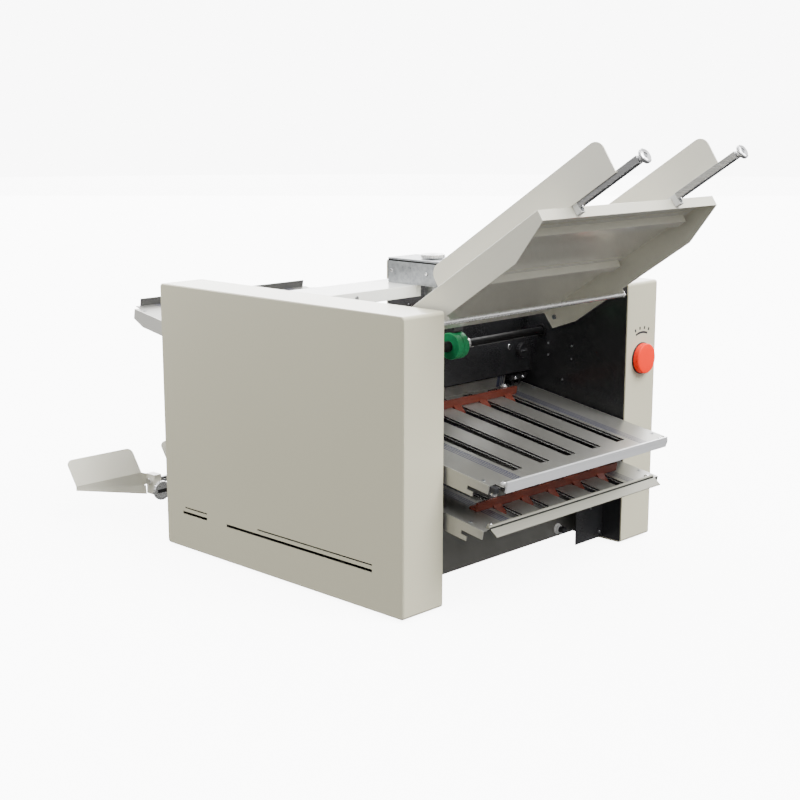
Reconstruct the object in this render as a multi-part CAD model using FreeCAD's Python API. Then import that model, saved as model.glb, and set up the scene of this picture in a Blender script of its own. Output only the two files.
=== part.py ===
import FreeCAD, Part
import math
import os

# Paper folding machine for a table top, in millimetres.
# X points to the right as seen from the front, Y to the rear and Z up.
# The origin lies on the table, at the centre of the rectangle of the four feet.

V = FreeCAD.Vector
X_AXIS = V(1, 0, 0)
Y_AXIS = V(0, 1, 0)
Z_AXIS = V(0, 0, 1)
ORIGIN = V(0, 0, 0)

# ---------------------------------------------------------------- body
cover_width = 75.0
cover_depth = 504.0
cover_height = 400.0
cover_sheet = 2.0
cover_corner_radius = 5.0
cover_edge = 1.5
bay_width = 405.0
foot_height = 4.0
foot_radius = 14.0
foot_spacing_x = 480.0
foot_spacing_y = 430.0
plate_thickness = 4.0
plate_recess = 1.0
seat_gap = 0.3
fit_gap = 0.05
sheet = 1.5

half_bay = bay_width / 2
half_body = half_bay + cover_width
front_y = -cover_depth / 2
rear_y = cover_depth / 2
cover_base_z = foot_height
cover_top_z = foot_height + cover_height
plate_inner_x = half_bay + plate_recess
plate_outer_x = plate_inner_x + plate_thickness
span_x = plate_inner_x
clear_x = half_bay - seat_gap

# ventilation slots in the outer walls of the covers: (front end, rear end) seen from the front edge
vent_low_z = cover_base_z + 55.5
vent_pitch_z = 8.2
vent_thick = 4.0
vent_thin = 2.0
front_vent_start = 58.0
front_vent_long = 302.0
front_vent_short = 233.0
rear_vent_start = 406.0
rear_vent_long = 57.0
rear_vent_short = 52.0

# ---------------------------------------------------------------- fold rollers
roller_count = 6
roller_pitch = 32.0
roller_gap = 0.3
roller_y = front_y + 222.0
top_roller_z = cover_base_z + 274.0
roller_end_gap = 6.5
shaft_radius = 6.0
shaft_end_chamfer = 0.8
drive_gap = 5.0

roller_radius = (roller_pitch - roller_gap) / 2
roller_half_length = bay_width / 2 - roller_end_gap - seat_gap
drive_x = plate_outer_x + drive_gap

# ---------------------------------------------------------------- gears, one on each roller
gear_module = 2.0
gear_width = 10.0
gear_backlash = 0.3
gear_addendum = 0.9
gear_dedendum = 1.25
gear_tooth_count = int(round(roller_pitch / gear_module))
pressure_angle = 20.0

# ---------------------------------------------------------------- paper feed
feed_y = front_y + 164.0
feed_z = cover_base_z + 312.5
feed_radius = 20.0
feed_tyre_length = 11.5
feed_tyre_gap = 1.0

# ---------------------------------------------------------------- belts, pulleys and motor
belt_thickness = 2.0
belt_width = 7.0
pulley_width = 10.0
pulley_flange = 1.2
pulley_rim = 3.0
feed_drive_radius = 12.5
feed_pulley_radius = 17.5
main_pulley_radius = 28.0
motor_pulley_radius = 14.0
motor_y = 30.0
motor_z = foot_height + 50.0
motor_half = 38.0
motor_length = 120.0
motor_bell = 24.0
motor_flange = 6.0
motor_shaft_radius = 5.0
motor_shaft_hole = 8.0
feed_belt_x = drive_x + 1.0
main_belt_x = feed_belt_x + pulley_width + 4.5

# ---------------------------------------------------------------- fold plates
fold_tilt = 9.6
fold_half_width = 198.0
fold_gap = 2.0
fold_entry = 16.0
fold_rise = 3.0
fold_flange_depth = 24.0
fold_lip_height = 16.0
fold_lip_half = 154.0
fold_lip_s = 8.0
spacer_width = 6.5
slot_count = 5
slot_pitch = 58.0
slot_width = 20.0
slot_start = 16.0
upper_slot_margin = 33.0
lower_slot_margin = 5.5
rear_slot_margin = 36.0
front_upper_hook = 38.0
front_lower_hook = 26.0
hook_width = 10.5
hook_top = 12.0
hook_height = 5.5
flange_inset = 13.0
flange_corner = 25.0
flange_corner_depth = 16.0
front_upper_length = 298.5
front_lower_length = 276.5
rear_upper_length = 463.0
rear_lower_length = 360.0
rail_start = 25.0
rail_end = 190.0
rail_height = 6.0
rail_overlap = 2.5

rail_inner_x = fold_half_width - rail_overlap
rail_top_n = -fold_flange_depth - seat_gap
rail_low_n = rail_top_n - rail_height

# fold stops: angle bar, tongues into the slots, two thumb screws
short_stop_half = 138.0
long_stop_half = 157.0
stop_leg = 14.0
stop_thickness = 3.0
stop_height = 12.0
tongue_width = 16.0
tongue_reach = 12.0
tongue_drop = 9.0
thumb_head_radius = 5.5
thumb_head_height = 10.5
thumb_shank_radius = 2.0
clamp_half_width = 13.0
clamp_half_depth = 5.0
clamp_thickness = 2.0
front_upper_stop = 34.0
front_lower_stop = 215.0
rear_upper_stop = 250.0
rear_lower_stop = 120.0

# end bars of the fold plates: strip, sloping section, upright edge
strip_half_length = 181.0
strip_thickness = 3.0
strip_top = 7.0
strip_bottom = 8.4
bar_half_length = 185.5
bar_foot = 6.0
bar_height = 4.4
bar_groove = 0.6
bar_reach = 14.0
bar_drop = 7.0
edge_half_length = 178.0
edge_height = 12.0
edge_thickness = 2.0

# ---------------------------------------------------------------- feed tray, as (down the slope, off the surface)
tray_tilt = 33.36
tray_length = 350.0
tray_feed_back = 14.0
tray_feed_rise = 31.0
tray_front_y = feed_y - tray_feed_back - tray_length * math.cos(math.radians(tray_tilt))
tray_front_z = feed_z + tray_feed_rise + tray_length * math.sin(math.radians(tray_tilt))
tray_half_width = 193.0
tray_lip = 15.0
tray_flange_front = 65.0
tray_flange_depth = 38.0
tray_flange_rear = 47.0
tray_flange_end = 29.0
crossbar_first = 38.0
crossbar_pitch = 130.0
crossbar_depth = 10.0
crossbar_width = 34.0
crossbar_short = 15.0
tie_rod_y = front_y + 8.0
tie_rod_z = cover_base_z + 383.0
tie_rod_radius = 3.5
tray_boss_t = tray_length - 15.0
tray_boss_n = -16.0
tray_boss_radius = 6.0

# ---------------------------------------------------------------- side guides on the tray
left_guide_x = -127.5
right_guide_x = 102.5
guide_sheet = 2.0
guide_rear_t = 250.0
guide_front_t = -80.0
guide_height = 50.0
guide_corner = 15.0
guide_foot = 12.0
guide_foot_t = 12.0
rail_width = 11.0
guide_rail_height = 9.0
rail_top = 3.3
rail_wall = 1.2
rail_front_t = -113.0
rail_end_t = -9.3
rod_n = -2.2
clip_height = 16.0
clip_leg = 8.0
knob_disc_radius = 10.0
knob_disc = 5.0
knob_nut = 3.0
guide_rod_radius = 2.5

# ---------------------------------------------------------------- top beam and paper separator
beam_front_y = front_y + 215.0
beam_rear_y = front_y + 300.0
beam_lip = 17.5
channel_half_width = 30.5
channel_height = 37.3
channel_rear_y = front_y + 270.6
channel_front_y = front_y + 152.0
channel_wall = 2.0
sep_knob_y = front_y + 208.0
sep_knob_radius = 18.0
sep_knob_height = 6.0
sep_screw_radius = 4.0
sep_collar_radius = 9.0
sep_collar = 0.8
sep_arm_half = 12.0
sep_arm_height = 12.0
sep_pad_length = 16.0
sep_pad_half = 10.0
sep_travel = 3.75

# ---------------------------------------------------------------- lower panels, gland, terminal plate
front_panel_y = front_y + 64.0
front_panel_z = cover_base_z + 14.0
front_panel_height = 94.0
panel_sheet = 2.0
gland_x = 126.5
gland_z = cover_base_z + 26.0
gland_radius = 7.0
gland_bore = 4.5
gland_length = 9.0
terminal_left_x = 137.0
terminal_y = front_y + 36.0
terminal_z = cover_base_z + 3.0
terminal_height = 102.0
rear_panel_y = rear_y - 12.0
rear_panel_depth = 38.0

# ---------------------------------------------------------------- delivery at the rear
chute_front_y = roller_y + 20.0
chute_front_z = cover_base_z + 124.0
chute_rear_y = rear_y + 10.0
chute_rear_z = cover_base_z + 88.0
chute_side = 12.0
delivery_rod_x = 100.0
delivery_rod_radius = 5.5
cross_rod_radius = 6.0
cross_rod_half = 178.0
delivery_z = cover_base_z + 42.0
cross_rod_y = front_y + 690.0
delivery_rod_start = 180.0
hub_width = 14.0
hub_depth = 22.0
hub_top = 12.0
hub_bottom = 22.0
left_hub_x = -165.5
right_hub_x = 20.5
stop_plate_width = 127.0
stop_plate_height = 46.6
stop_plate_lean = 35.4
stop_plate_gap = 10.0
stop_plate_sheet = 1.5
stop_plate_corner = 10.0
stop_web_drop = 23.0
stop_hem = 15.0
stop_hem_reach = 10.0
stop_hem_lean = 18.0
delivery_knob_radius = 16.5
delivery_knob = 7.0
delivery_screw_radius = 3.0
delivery_collar_radius = 7.0
delivery_collar = 7.0

# ---------------------------------------------------------------- speed knob
speed_x = half_body - 37.0
speed_z = cover_base_z + 283.8
speed_radius = 24.0
speed_height = 11.0
speed_shaft_radius = 4.0


# ================================================================ shape helpers
def box(x, y, z):
    """A block between the low and high value of each axis."""
    size = [high - low for low, high in (x, y, z)]
    return Part.makeBox(size[0], size[1], size[2], V(x[0], y[0], z[0]))


def rod_x(low, high, y, z, radius):
    return Part.makeCylinder(radius, high - low, V(low, y, z), X_AXIS)


def rod_y(low, high, x, z, radius):
    return Part.makeCylinder(radius, high - low, V(x, low, z), Y_AXIS)


def rod_z(low, high, x, y, radius):
    return Part.makeCylinder(radius, high - low, V(x, y, low), Z_AXIS)


def profile_x(outline, low, high):
    """A prism along X over an outline of (y, z) points."""
    points = [V(low, y, z) for y, z in outline]
    face = Part.Face(Part.makePolygon(points + points[:1]))
    return face.extrude(V(high - low, 0, 0))


def profile_y(outline, low, high):
    """A prism along Y over an outline of (x, z) points."""
    points = [V(x, low, z) for x, z in outline]
    face = Part.Face(Part.makePolygon(points + points[:1]))
    return face.extrude(V(0, high - low, 0))


def bent_sheet(path, thickness, low, high):
    """Sheet metal bent along a line of (y, z) points, its thickness on the left of that line."""
    normals = []
    for (y1, z1), (y2, z2) in zip(path, path[1:]):
        run = math.hypot(y2 - y1, z2 - z1)
        normals.append(((z1 - z2) / run, (y2 - y1) / run))
    joined = list(zip(normals[:1] + normals, normals + normals[-1:]))
    other = []
    for (y, z), (before, after) in zip(path, joined):
        scale = thickness / (1 + before[0] * after[0] + before[1] * after[1])
        other.append((y + scale * (before[0] + after[0]), z + scale * (before[1] + after[1])))
    return profile_x(path + other[::-1], low, high)


def mirrored(shape):
    return shape.mirror(ORIGIN, X_AXIS)


def turned(shape, axis, angle, centre=ORIGIN):
    result = shape.copy()
    result.rotate(centre, axis, angle)
    return result


def moved(shape, x=0.0, y=0.0, z=0.0):
    result = shape.copy()
    result.translate(V(x, y, z))
    return result


def union(shapes):
    return shapes[0].fuse(shapes[1:]).removeSplitter()


def round_edges(shape, radius, chosen):
    """Fillet the edges whose middle point passes the test."""
    edges = [e for e in shape.Edges if chosen(e.CenterOfMass)]
    return shape.makeFillet(radius, edges)


def bevel_edges(shape, size, chosen):
    """Chamfer the edges whose middle point passes the test."""
    edges = [e for e in shape.Edges if e.Closed and chosen(e.CenterOfMass)]
    return shape.makeChamfer(size, edges)


def knurled(radius, depth, ridges, low, high):
    """Disc along Y with grip ridges round its rim, centred on the Y axis."""
    outline = []
    for step in range(2 * ridges):
        angle = math.pi * step / ridges
        reach = radius - depth * (step % 2)
        outline.append((reach * math.cos(angle), reach * math.sin(angle)))
    return profile_y(outline, low, high)


def save(node, solids):
    shape = solids[0] if len(solids) == 1 else Part.makeCompound(solids)
    shape.exportStep("parts/" + node + ".step")


# ================================================================ covers and frame
def roller_z(index):
    return top_roller_z - index * roller_pitch


def vent_slots(wall_x):
    """Four long louvre cuts through the outer wall at wall_x."""
    cuts = []
    rows = [
        (front_vent_start, front_vent_long, vent_low_z, vent_thick),
        (front_vent_start, front_vent_short, vent_low_z + vent_pitch_z, vent_thin),
        (rear_vent_start, rear_vent_long, vent_low_z, vent_thick),
        (rear_vent_start, rear_vent_short, vent_low_z + vent_pitch_z, vent_thin),
    ]
    for start, length, z, height in rows:
        y = front_y + start
        x = (wall_x - cover_sheet, wall_x + 2 * cover_sheet)
        cuts.append(box(x, (y, y + length), (z - height / 2, z + height / 2)))
    return cuts


def left_cover():
    """Sheet metal side case, open towards the machine."""
    shell = box((-half_body, -half_bay), (front_y, rear_y), (cover_base_z, cover_top_z))
    shell = round_edges(shell, cover_corner_radius, lambda c: abs(c.x + half_bay + cover_width / 2) < 1)
    rim = [e for e in shell.Edges if e.CenterOfMass.x < -half_body + 0.1]
    shell = shell.makeChamfer(cover_edge, rim)
    cavity = box(
        (-half_body + cover_sheet, -half_bay + 1),
        (front_y + cover_sheet, rear_y - cover_sheet),
        (cover_base_z + cover_sheet, cover_top_z - cover_sheet),
    )
    return shell.cut([cavity] + vent_slots(-half_body))


def right_cover():
    shell = mirrored(left_cover())
    knob_hole = rod_y(front_y - 1, front_y + 10, speed_x, speed_z, speed_shaft_radius + fit_gap)
    return shell.cut(knob_hole)


def rubber_feet():
    feet = []
    for side_x in (-1, 1):
        for side_y in (-1, 1):
            x = side_x * foot_spacing_x / 2
            y = side_y * foot_spacing_y / 2
            feet.append(rod_z(0, foot_height, x, y, foot_radius))
    return feet


def frame_plate():
    """Right side plate with its bearing bores, the rails of the fold plates and the tray boss."""
    y = (front_y + cover_sheet + seat_gap, rear_y - cover_sheet - seat_gap)
    z = (cover_base_z + cover_sheet + seat_gap, cover_top_z - cover_sheet - seat_gap)
    pieces = [box((plate_inner_x, plate_outer_x), y, z)]
    bores = [
        rod_x(plate_inner_x - 1, plate_outer_x + 1, axis_y, axis_z, shaft_radius + fit_gap)
        for axis_y, axis_z in shaft_places()
    ]
    for fold in FOLDS:
        x = sorted((fold.facing * rail_inner_x, fold.facing * plate_inner_x))
        rail = box(x, (rail_start, rail_end), (rail_low_n, rail_top_n))
        pieces.append(fold.place(rail))
    tray_y, tray_z = tray_point(tray_boss_t, tray_boss_n)
    pieces.append(rod_x(tray_half_width, plate_inner_x, tray_y, tray_z, tray_boss_radius))
    return union(pieces).cut(bores)


def shaft_places():
    """(y, z) of every roller axis that the side plates carry."""
    return [(roller_y, roller_z(index)) for index in range(roller_count)] + [(feed_y, feed_z)]


def right_frame_plate():
    hole = rod_x(plate_inner_x - 1, plate_outer_x + 1, motor_y, motor_z, motor_shaft_hole)
    return frame_plate().cut(hole)


def left_frame_plate():
    return mirrored(frame_plate())


def tie_rod():
    return rod_x(-span_x, span_x, tie_rod_y, tie_rod_z, tie_rod_radius)


# ================================================================ rollers, gears, feed and drive
def involute(radius, base):
    """Angle by which an involute has turned away where it reaches this radius."""
    tangent = math.sqrt(max(radius * radius / (base * base) - 1, 0))
    return tangent - math.atan(tangent)


def gear(x, y, z, phase):
    """Spur gear with involute flanks, its first tooth phase tooth pitches past +Y."""
    pitch_radius = gear_module * gear_tooth_count / 2
    base = pitch_radius * math.cos(math.radians(pressure_angle))
    tip = pitch_radius + gear_addendum * gear_module
    root = pitch_radius - gear_dedendum * gear_module
    half_tooth = (math.pi * gear_module - gear_backlash) / 4 / pitch_radius
    half_base = half_tooth + involute(pitch_radius, base)
    flank = [(root, half_base), (base, half_base), (tip, half_base - involute(tip, base))]
    outline = []
    for tooth in range(gear_tooth_count):
        middle = 2 * math.pi * (tooth + phase) / gear_tooth_count
        for side, points in ((-1, flank), (1, flank[::-1])):
            for radius, half in points:
                angle = middle + side * half
                outline.append((y + radius * math.cos(angle), z + radius * math.sin(angle)))
    return profile_x(outline, x - gear_width, x)


def pulley(x, y, z, radius):
    """Flanged belt pulley, from x outwards along +X."""
    rim = rod_x(x, x + pulley_width, y, z, radius)
    inner = rod_x(x, x + pulley_flange, y, z, radius + pulley_rim)
    outer = moved(inner, x=pulley_width - pulley_flange)
    return union([rim, inner, outer])


def fold_roller(index):
    """Roller, its shaft and its gear; the second also drives the feed, the last takes the motor belt."""
    z = roller_z(index)
    body = rod_x(-roller_half_length, roller_half_length, roller_y, z, roller_radius)
    gear_x = -drive_x - seat_gap
    right_end = drive_x
    pieces = [body, gear(gear_x, roller_y, z, 0.5 * (index % 2))]
    if index == 1:
        pieces.append(pulley(feed_belt_x, roller_y, z, feed_drive_radius))
        right_end = feed_belt_x + pulley_width
    if index == roller_count - 1:
        pieces.append(pulley(main_belt_x, roller_y, z, main_pulley_radius))
        right_end = main_belt_x + pulley_width
    shaft = rod_x(gear_x - gear_width, right_end, roller_y, z, shaft_radius)
    return union([shaft] + pieces)


def feed_shaft():
    shaft = rod_x(-drive_x, feed_belt_x + pulley_width, feed_y, feed_z, shaft_radius)
    return union([shaft, pulley(feed_belt_x, feed_y, feed_z, feed_pulley_radius)])


def feed_tyres():
    inner = feed_tyre_gap / 2
    tyre = rod_x(inner, inner + feed_tyre_length, feed_y, feed_z, feed_radius)
    bore = rod_x(inner - 1, inner + feed_tyre_length + 1, feed_y, feed_z, shaft_radius + fit_gap)
    tyre = tyre.cut(bore)
    return [tyre, mirrored(tyre)]


def loop(first, second, low, high):
    """Solid that fills a belt's run round two circles of (y, z, radius)."""
    y1, z1, r1 = first
    y2, z2, r2 = second
    span = math.hypot(y2 - y1, z2 - z1)
    along = ((y2 - y1) / span, (z2 - z1) / span)
    cosine = (r1 - r2) / span
    sine = math.sqrt(1 - cosine * cosine)
    outline = []
    for y, z, radius, side in ((y1, z1, r1, 1), (y2, z2, r2, 1), (y2, z2, r2, -1), (y1, z1, r1, -1)):
        out_y = cosine * along[0] - side * sine * along[1]
        out_z = cosine * along[1] + side * sine * along[0]
        outline.append((y + radius * out_y, z + radius * out_z))
    discs = [rod_x(low, high, y, z, radius) for y, z, radius in (first, second)]
    return union([profile_x(outline, low, high)] + discs)


def belt(first, second, x):
    low = x + (pulley_width - belt_width) / 2
    high = low + belt_width
    grown = [
        [(y, z, radius + extra) for y, z, radius in (first, second)]
        for extra in (seat_gap, seat_gap + belt_thickness)
    ]
    inner = loop(grown[0][0], grown[0][1], low - 1, high + 1)
    return loop(grown[1][0], grown[1][1], low, high).cut(inner)


def drive_belts():
    feed_circle = (feed_y, feed_z, feed_pulley_radius)
    feed_driver = (roller_y, roller_z(1), feed_drive_radius)
    motor_circle = (motor_y, motor_z, motor_pulley_radius)
    main_circle = (roller_y, roller_z(roller_count - 1), main_pulley_radius)
    return [belt(feed_driver, feed_circle, feed_belt_x), belt(main_circle, motor_circle, main_belt_x)]


def motor_block(low, high, half, corner):
    """Square section along X with its corners cut, round the motor's axis."""
    short = half - corner
    corners = [(half, short), (short, half), (-short, half), (-half, short)]
    outline = corners + [(-y, -z) for y, z in corners]
    return profile_x([(motor_y + y, motor_z + z) for y, z in outline], low, high)


def drive_motor():
    """Square-frame motor bolted to the right side plate: flange, stack, end bell, terminal box."""
    flange_x = plate_inner_x - motor_flange
    rear_x = flange_x - motor_length
    flange = motor_block(flange_x, plate_inner_x, motor_half + 4, 6)
    front_bell = motor_block(flange_x - motor_bell, flange_x, motor_half - 4, 14)
    stack = motor_block(rear_x + motor_bell, flange_x - motor_bell, motor_half, 9)
    rear_bell = motor_block(rear_x, rear_x + motor_bell, motor_half - 4, 16)
    top = motor_z + motor_half
    terminal = box((rear_x + 30, rear_x + 80), (motor_y - 18, motor_y + 18), (top - 1, top + 18))
    bore = rod_x(flange_x - motor_bell, plate_inner_x + 1, motor_y, motor_z, motor_shaft_radius + fit_gap)
    return union([flange, front_bell, stack, rear_bell, terminal]).cut(bore)


def motor_pulley():
    low = plate_inner_x - motor_flange - motor_bell + 4
    shaft = rod_x(low, main_belt_x, motor_y, motor_z, motor_shaft_radius)
    rim = rod_x(main_belt_x, main_belt_x + pulley_width, motor_y, motor_z, motor_pulley_radius)
    return union([shaft, rim])


# ================================================================ fold plates
class Fold:
    """One fold plate: where it stands and how far it reaches."""

    def __init__(self, node, facing, nip, length, stop, stop_half, slot_margin):
        self.node = node
        self.facing = facing
        self.length = length
        self.stop = stop
        self.stop_half = stop_half
        self.slot_end = length - slot_margin
        self.y = roller_y + facing * fold_entry
        self.z = (roller_z(nip) + roller_z(nip + 1)) / 2 + fold_rise

    def place(self, shape):
        """Lay a shape drawn with +Y outwards and +Z up on the plate's slope."""
        result = shape.copy()
        if self.facing < 0:
            result.rotate(ORIGIN, Z_AXIS, 180)
        result.rotate(ORIGIN, X_AXIS, fold_tilt)
        result.translate(V(0, self.y, self.z))
        return result

    def point(self, s, n):
        """(y, z) of a point s outwards along the plate and n above it."""
        angle = math.radians(fold_tilt)
        y = self.facing * s
        return (
            self.y + y * math.cos(angle) - n * math.sin(angle),
            self.z + y * math.sin(angle) + n * math.cos(angle),
        )


FOLDS = [
    Fold("rear_upper", 1, 0, rear_upper_length, rear_upper_stop, long_stop_half, rear_slot_margin),
    Fold("front_upper", -1, 1, front_upper_length, front_upper_stop, short_stop_half, upper_slot_margin),
    Fold("rear_lower", 1, 2, rear_lower_length, rear_lower_stop, long_stop_half, rear_slot_margin),
    Fold("front_lower", -1, 3, front_lower_length, front_lower_stop, long_stop_half, lower_slot_margin),
]


def slot_centres():
    middle = (slot_count - 1) / 2
    return [(index - middle) * slot_pitch for index in range(slot_count)]


def hooked_end(end, hook):
    """Outer end of a side flange, cut out so that a hook points outwards."""
    notch = hook - hook_width
    return [
        (end, 0),
        (end, -hook_top),
        (notch, -hook_top),
        (notch, -hook_top - hook_height),
        (hook, -hook_top - hook_height),
        (hook, -fold_flange_depth),
    ]


def plain_end(end):
    """Outer end of a side flange with its lower corner cut off."""
    return [(end, 0), (end, -flange_corner_depth), (end - flange_corner, -fold_flange_depth)]


def flange_outline(fold):
    if fold.facing > 0:
        end = plain_end(fold.length - flange_inset)
    elif fold.node == "front_upper":
        end = hooked_end(fold.length - flange_inset, fold.length - front_upper_hook)
    else:
        end = hooked_end(fold.length, fold.length - front_lower_hook)
    return [(fold_lip_s, 0)] + end + [(fold_lip_s, -fold_flange_depth)]


def fold_plate(fold):
    """Slotted deck with folded-down sides and a slotted sheet below, welded on spacers."""
    length = fold.length
    under_n = -sheet - fold_gap - sheet
    outline = flange_outline(fold)
    flange_end = outline[1][0]
    inner = fold_half_width - sheet - spacer_width
    deck = box((-fold_half_width, fold_half_width), (fold_lip_s, flange_end), (-sheet, 0))
    apron = box((-bar_half_length, bar_half_length), (fold_lip_s, length), (-sheet, 0))
    lip = box((-fold_lip_half, fold_lip_half), (fold_lip_s, fold_lip_s + sheet), (-sheet, fold_lip_height))
    under_end = length - bar_foot
    under = box((-inner, inner), (0, under_end), (under_n, under_n + sheet))
    flange = profile_x(outline, fold_half_width - sheet, fold_half_width)
    spacer = box((inner - sheet, fold_half_width - sheet), (fold_lip_s, fold.slot_end), (under_n, 0))
    body = union([deck, apron, lip, under, flange, mirrored(flange), spacer, mirrored(spacer)])
    cuts = []
    for x in slot_centres():
        half = slot_width / 2
        cuts.append(box((x - half, x + half), (slot_start, fold.slot_end), (-20, 5)))
    return body.cut(cuts)


def end_bar(fold):
    """Upright edge at the rear, strip on the upper front plate, sloping section on the lower one."""
    length = fold.length
    if fold.facing > 0:
        return box((-edge_half_length, edge_half_length), (length - edge_thickness, length), (0, edge_height))
    if fold.node == "front_upper":
        reach = (length, length + strip_thickness)
        return box((-strip_half_length, strip_half_length), reach, (-strip_bottom, strip_top))
    return sloping_bar(length)


def sloping_bar(length):
    """Foot on the deck, rounded bead, groove and a flange that slopes outwards."""
    outline = [
        (length - bar_foot, 0),
        (length, 0),
        (length + 2, -1),
        (length + bar_reach, -bar_drop),
        (length + bar_reach + 0.5, -bar_drop + 1.5),
        (length + 2.5, 1),
        (length + 0.7, bar_groove),
        (length + 0.3, bar_height / 2),
        (length - 0.7, bar_height - 0.7),
        (length - 2.5, bar_height),
        (length - 4.5, bar_height - 0.7),
        (length - bar_foot, bar_height / 2),
    ]
    return profile_x(outline, -bar_half_length, bar_half_length)


def stop_bar(fold):
    """Angle bar across the deck, with a tongue down into every slot."""
    s = fold.stop
    base = seat_gap
    x = (-fold.stop_half, fold.stop_half)
    flat = box(x, (s, s + stop_leg), (base, base + stop_thickness))
    upright = box(x, (s + stop_leg - stop_thickness, s + stop_leg), (base, base + stop_height))
    outline = [
        (s + stop_leg - stop_thickness, base),
        (s + stop_leg - stop_thickness, base + stop_thickness),
        (s + stop_leg, base + stop_thickness),
        (s + stop_leg + tongue_reach, -tongue_drop + stop_thickness),
        (s + stop_leg + tongue_reach, -tongue_drop),
        (s + stop_leg + tongue_reach - stop_thickness, -tongue_drop),
    ]
    tongues = [profile_x(outline, x - tongue_width / 2, x + tongue_width / 2) for x in slot_centres()]
    holes = [rod_z(-5, 10, x, s + clamp_half_depth, thumb_shank_radius + fit_gap) for x in screw_places()]
    return union([flat, upright] + tongues).cut(holes)


def screw_places():
    return [-2 * slot_pitch, 2 * slot_pitch]


def stop_screws(s):
    """Thumb screws with a clamp plate that grips the deck from below."""
    screws = []
    under_n = -2 * sheet - fold_gap - seat_gap
    head_n = seat_gap + stop_thickness
    for x in screw_places():
        y = s + clamp_half_depth
        head = knurled(thumb_head_radius, 0.8, 8, -thumb_head_height, 0)
        head = moved(turned(head, X_AXIS, 90), x=x, y=y, z=head_n + thumb_head_height)
        shank = rod_z(under_n - clamp_thickness / 2, head_n + 1, x, y, thumb_shank_radius)
        clamp = box(
            (x - clamp_half_width, x + clamp_half_width),
            (y - clamp_half_depth, y + clamp_half_depth),
            (under_n - clamp_thickness, under_n),
        )
        screws.append(union([head, shank, clamp]))
    return screws


# ================================================================ feed tray and side guides
def on_tray(shape):
    """Lay a shape drawn with +Y down the slope and +Z off the surface on the tray."""
    result = turned(shape, X_AXIS, -tray_tilt)
    result.translate(V(0, tray_front_y, tray_front_z))
    return result


def tray_point(t, n):
    """(y, z) of a point t down the tray and n above its surface."""
    angle = math.radians(tray_tilt)
    return (
        tray_front_y + t * math.cos(angle) + n * math.sin(angle),
        tray_front_z - t * math.sin(angle) + n * math.cos(angle),
    )


def tray_place(y, z):
    """(t, n) on the tray of a point given as (y, z)."""
    angle = math.radians(tray_tilt)
    dy = y - tray_front_y
    dz = z - tray_front_z
    return dy * math.cos(angle) - dz * math.sin(angle), dy * math.sin(angle) + dz * math.cos(angle)


def feed_tray():
    """Sloping sheet with a front lip, deep sides and two hat-shaped stiffeners below."""
    deck = box((-tray_half_width, tray_half_width), (0, tray_length), (-sheet, 0))
    lip = box((-tray_half_width, tray_half_width), (0, sheet), (-tray_lip, 0))
    rod_t, rod_n = tray_place(tie_rod_y, tie_rod_z)
    outline = [
        (0, 0),
        (0, -tray_lip),
        (tray_flange_front, -tray_flange_depth),
        (rod_t - 9, -tray_flange_depth - 1),
        (rod_t - 9, rod_n),
        (rod_t + 9, rod_n),
        (rod_t + 9, -tray_flange_depth - 1),
        (tray_length - tray_flange_rear, -tray_flange_depth - 2),
        (tray_length - 2, -tray_flange_end),
        (tray_length, 0),
    ]
    flange = profile_x(outline, tray_half_width - sheet, tray_half_width)
    flange = flange.cut(rod_x(0, tray_half_width + 1, rod_t, rod_n, tie_rod_radius + seat_gap))
    bars = [crossbar(crossbar_first), crossbar(crossbar_first + crossbar_pitch)]
    return on_tray(union([deck, lip, flange, mirrored(flange)] + bars))


def crossbar(t):
    """Hat section spot-welded to the underside, stopping short of the right side."""
    top = -sheet
    low = top - crossbar_depth
    path = [
        (t, top),
        (t + 8, top),
        (t + 9, low),
        (t + crossbar_width - 9, low),
        (t + crossbar_width - 8, top),
        (t + crossbar_width, top),
    ]
    return bent_sheet_down(path, -tray_half_width + sheet, tray_half_width - crossbar_short)


def bent_sheet_down(path, low, high):
    """Bent sheet whose thickness lies below the given line."""
    lower = [(y, z - sheet) for y, z in path]
    return profile_x(path + lower[::-1], low, high)


def side_guide(x, inward):
    """Tall plate with rounded upper corners and a foot on the tray; inward is +1 or -1."""
    bottom = seat_gap
    wall = box((x - guide_sheet / 2, x + guide_sheet / 2), (guide_front_t, guide_rear_t), (bottom, guide_height))
    wall = round_edges(wall, guide_corner, lambda c: abs(c.z - guide_height) < 0.1 and abs(c.x - x) < 0.1)
    edges = sorted((x, x + inward * guide_foot))
    foot = box(edges, (guide_foot_t, guide_rear_t - 4), (bottom, bottom + guide_sheet))
    return on_tray(union([wall, foot]))


def rail_span(x, inward):
    inner = x + inward * (guide_sheet / 2 + fit_gap)
    return sorted((inner, inner + inward * rail_width))


def guide_rail(x, inward):
    """Channel along the foot of the guide, open below, closed at its front end."""
    span = rail_span(x, inward)
    low = rail_top - guide_rail_height
    outer = box(span, (rail_front_t, rail_end_t), (low, rail_top))
    hollow = box(
        (span[0] + rail_wall, span[1] - rail_wall),
        (rail_front_t + 2, rail_end_t + 1),
        (low - 1, rail_top - rail_wall),
    )
    hole = rod_y(rail_front_t - 1, rail_front_t + 3, sum(span) / 2, rod_n, guide_rod_radius + fit_gap)
    return on_tray(outer.cut([hollow, hole]))


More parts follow.
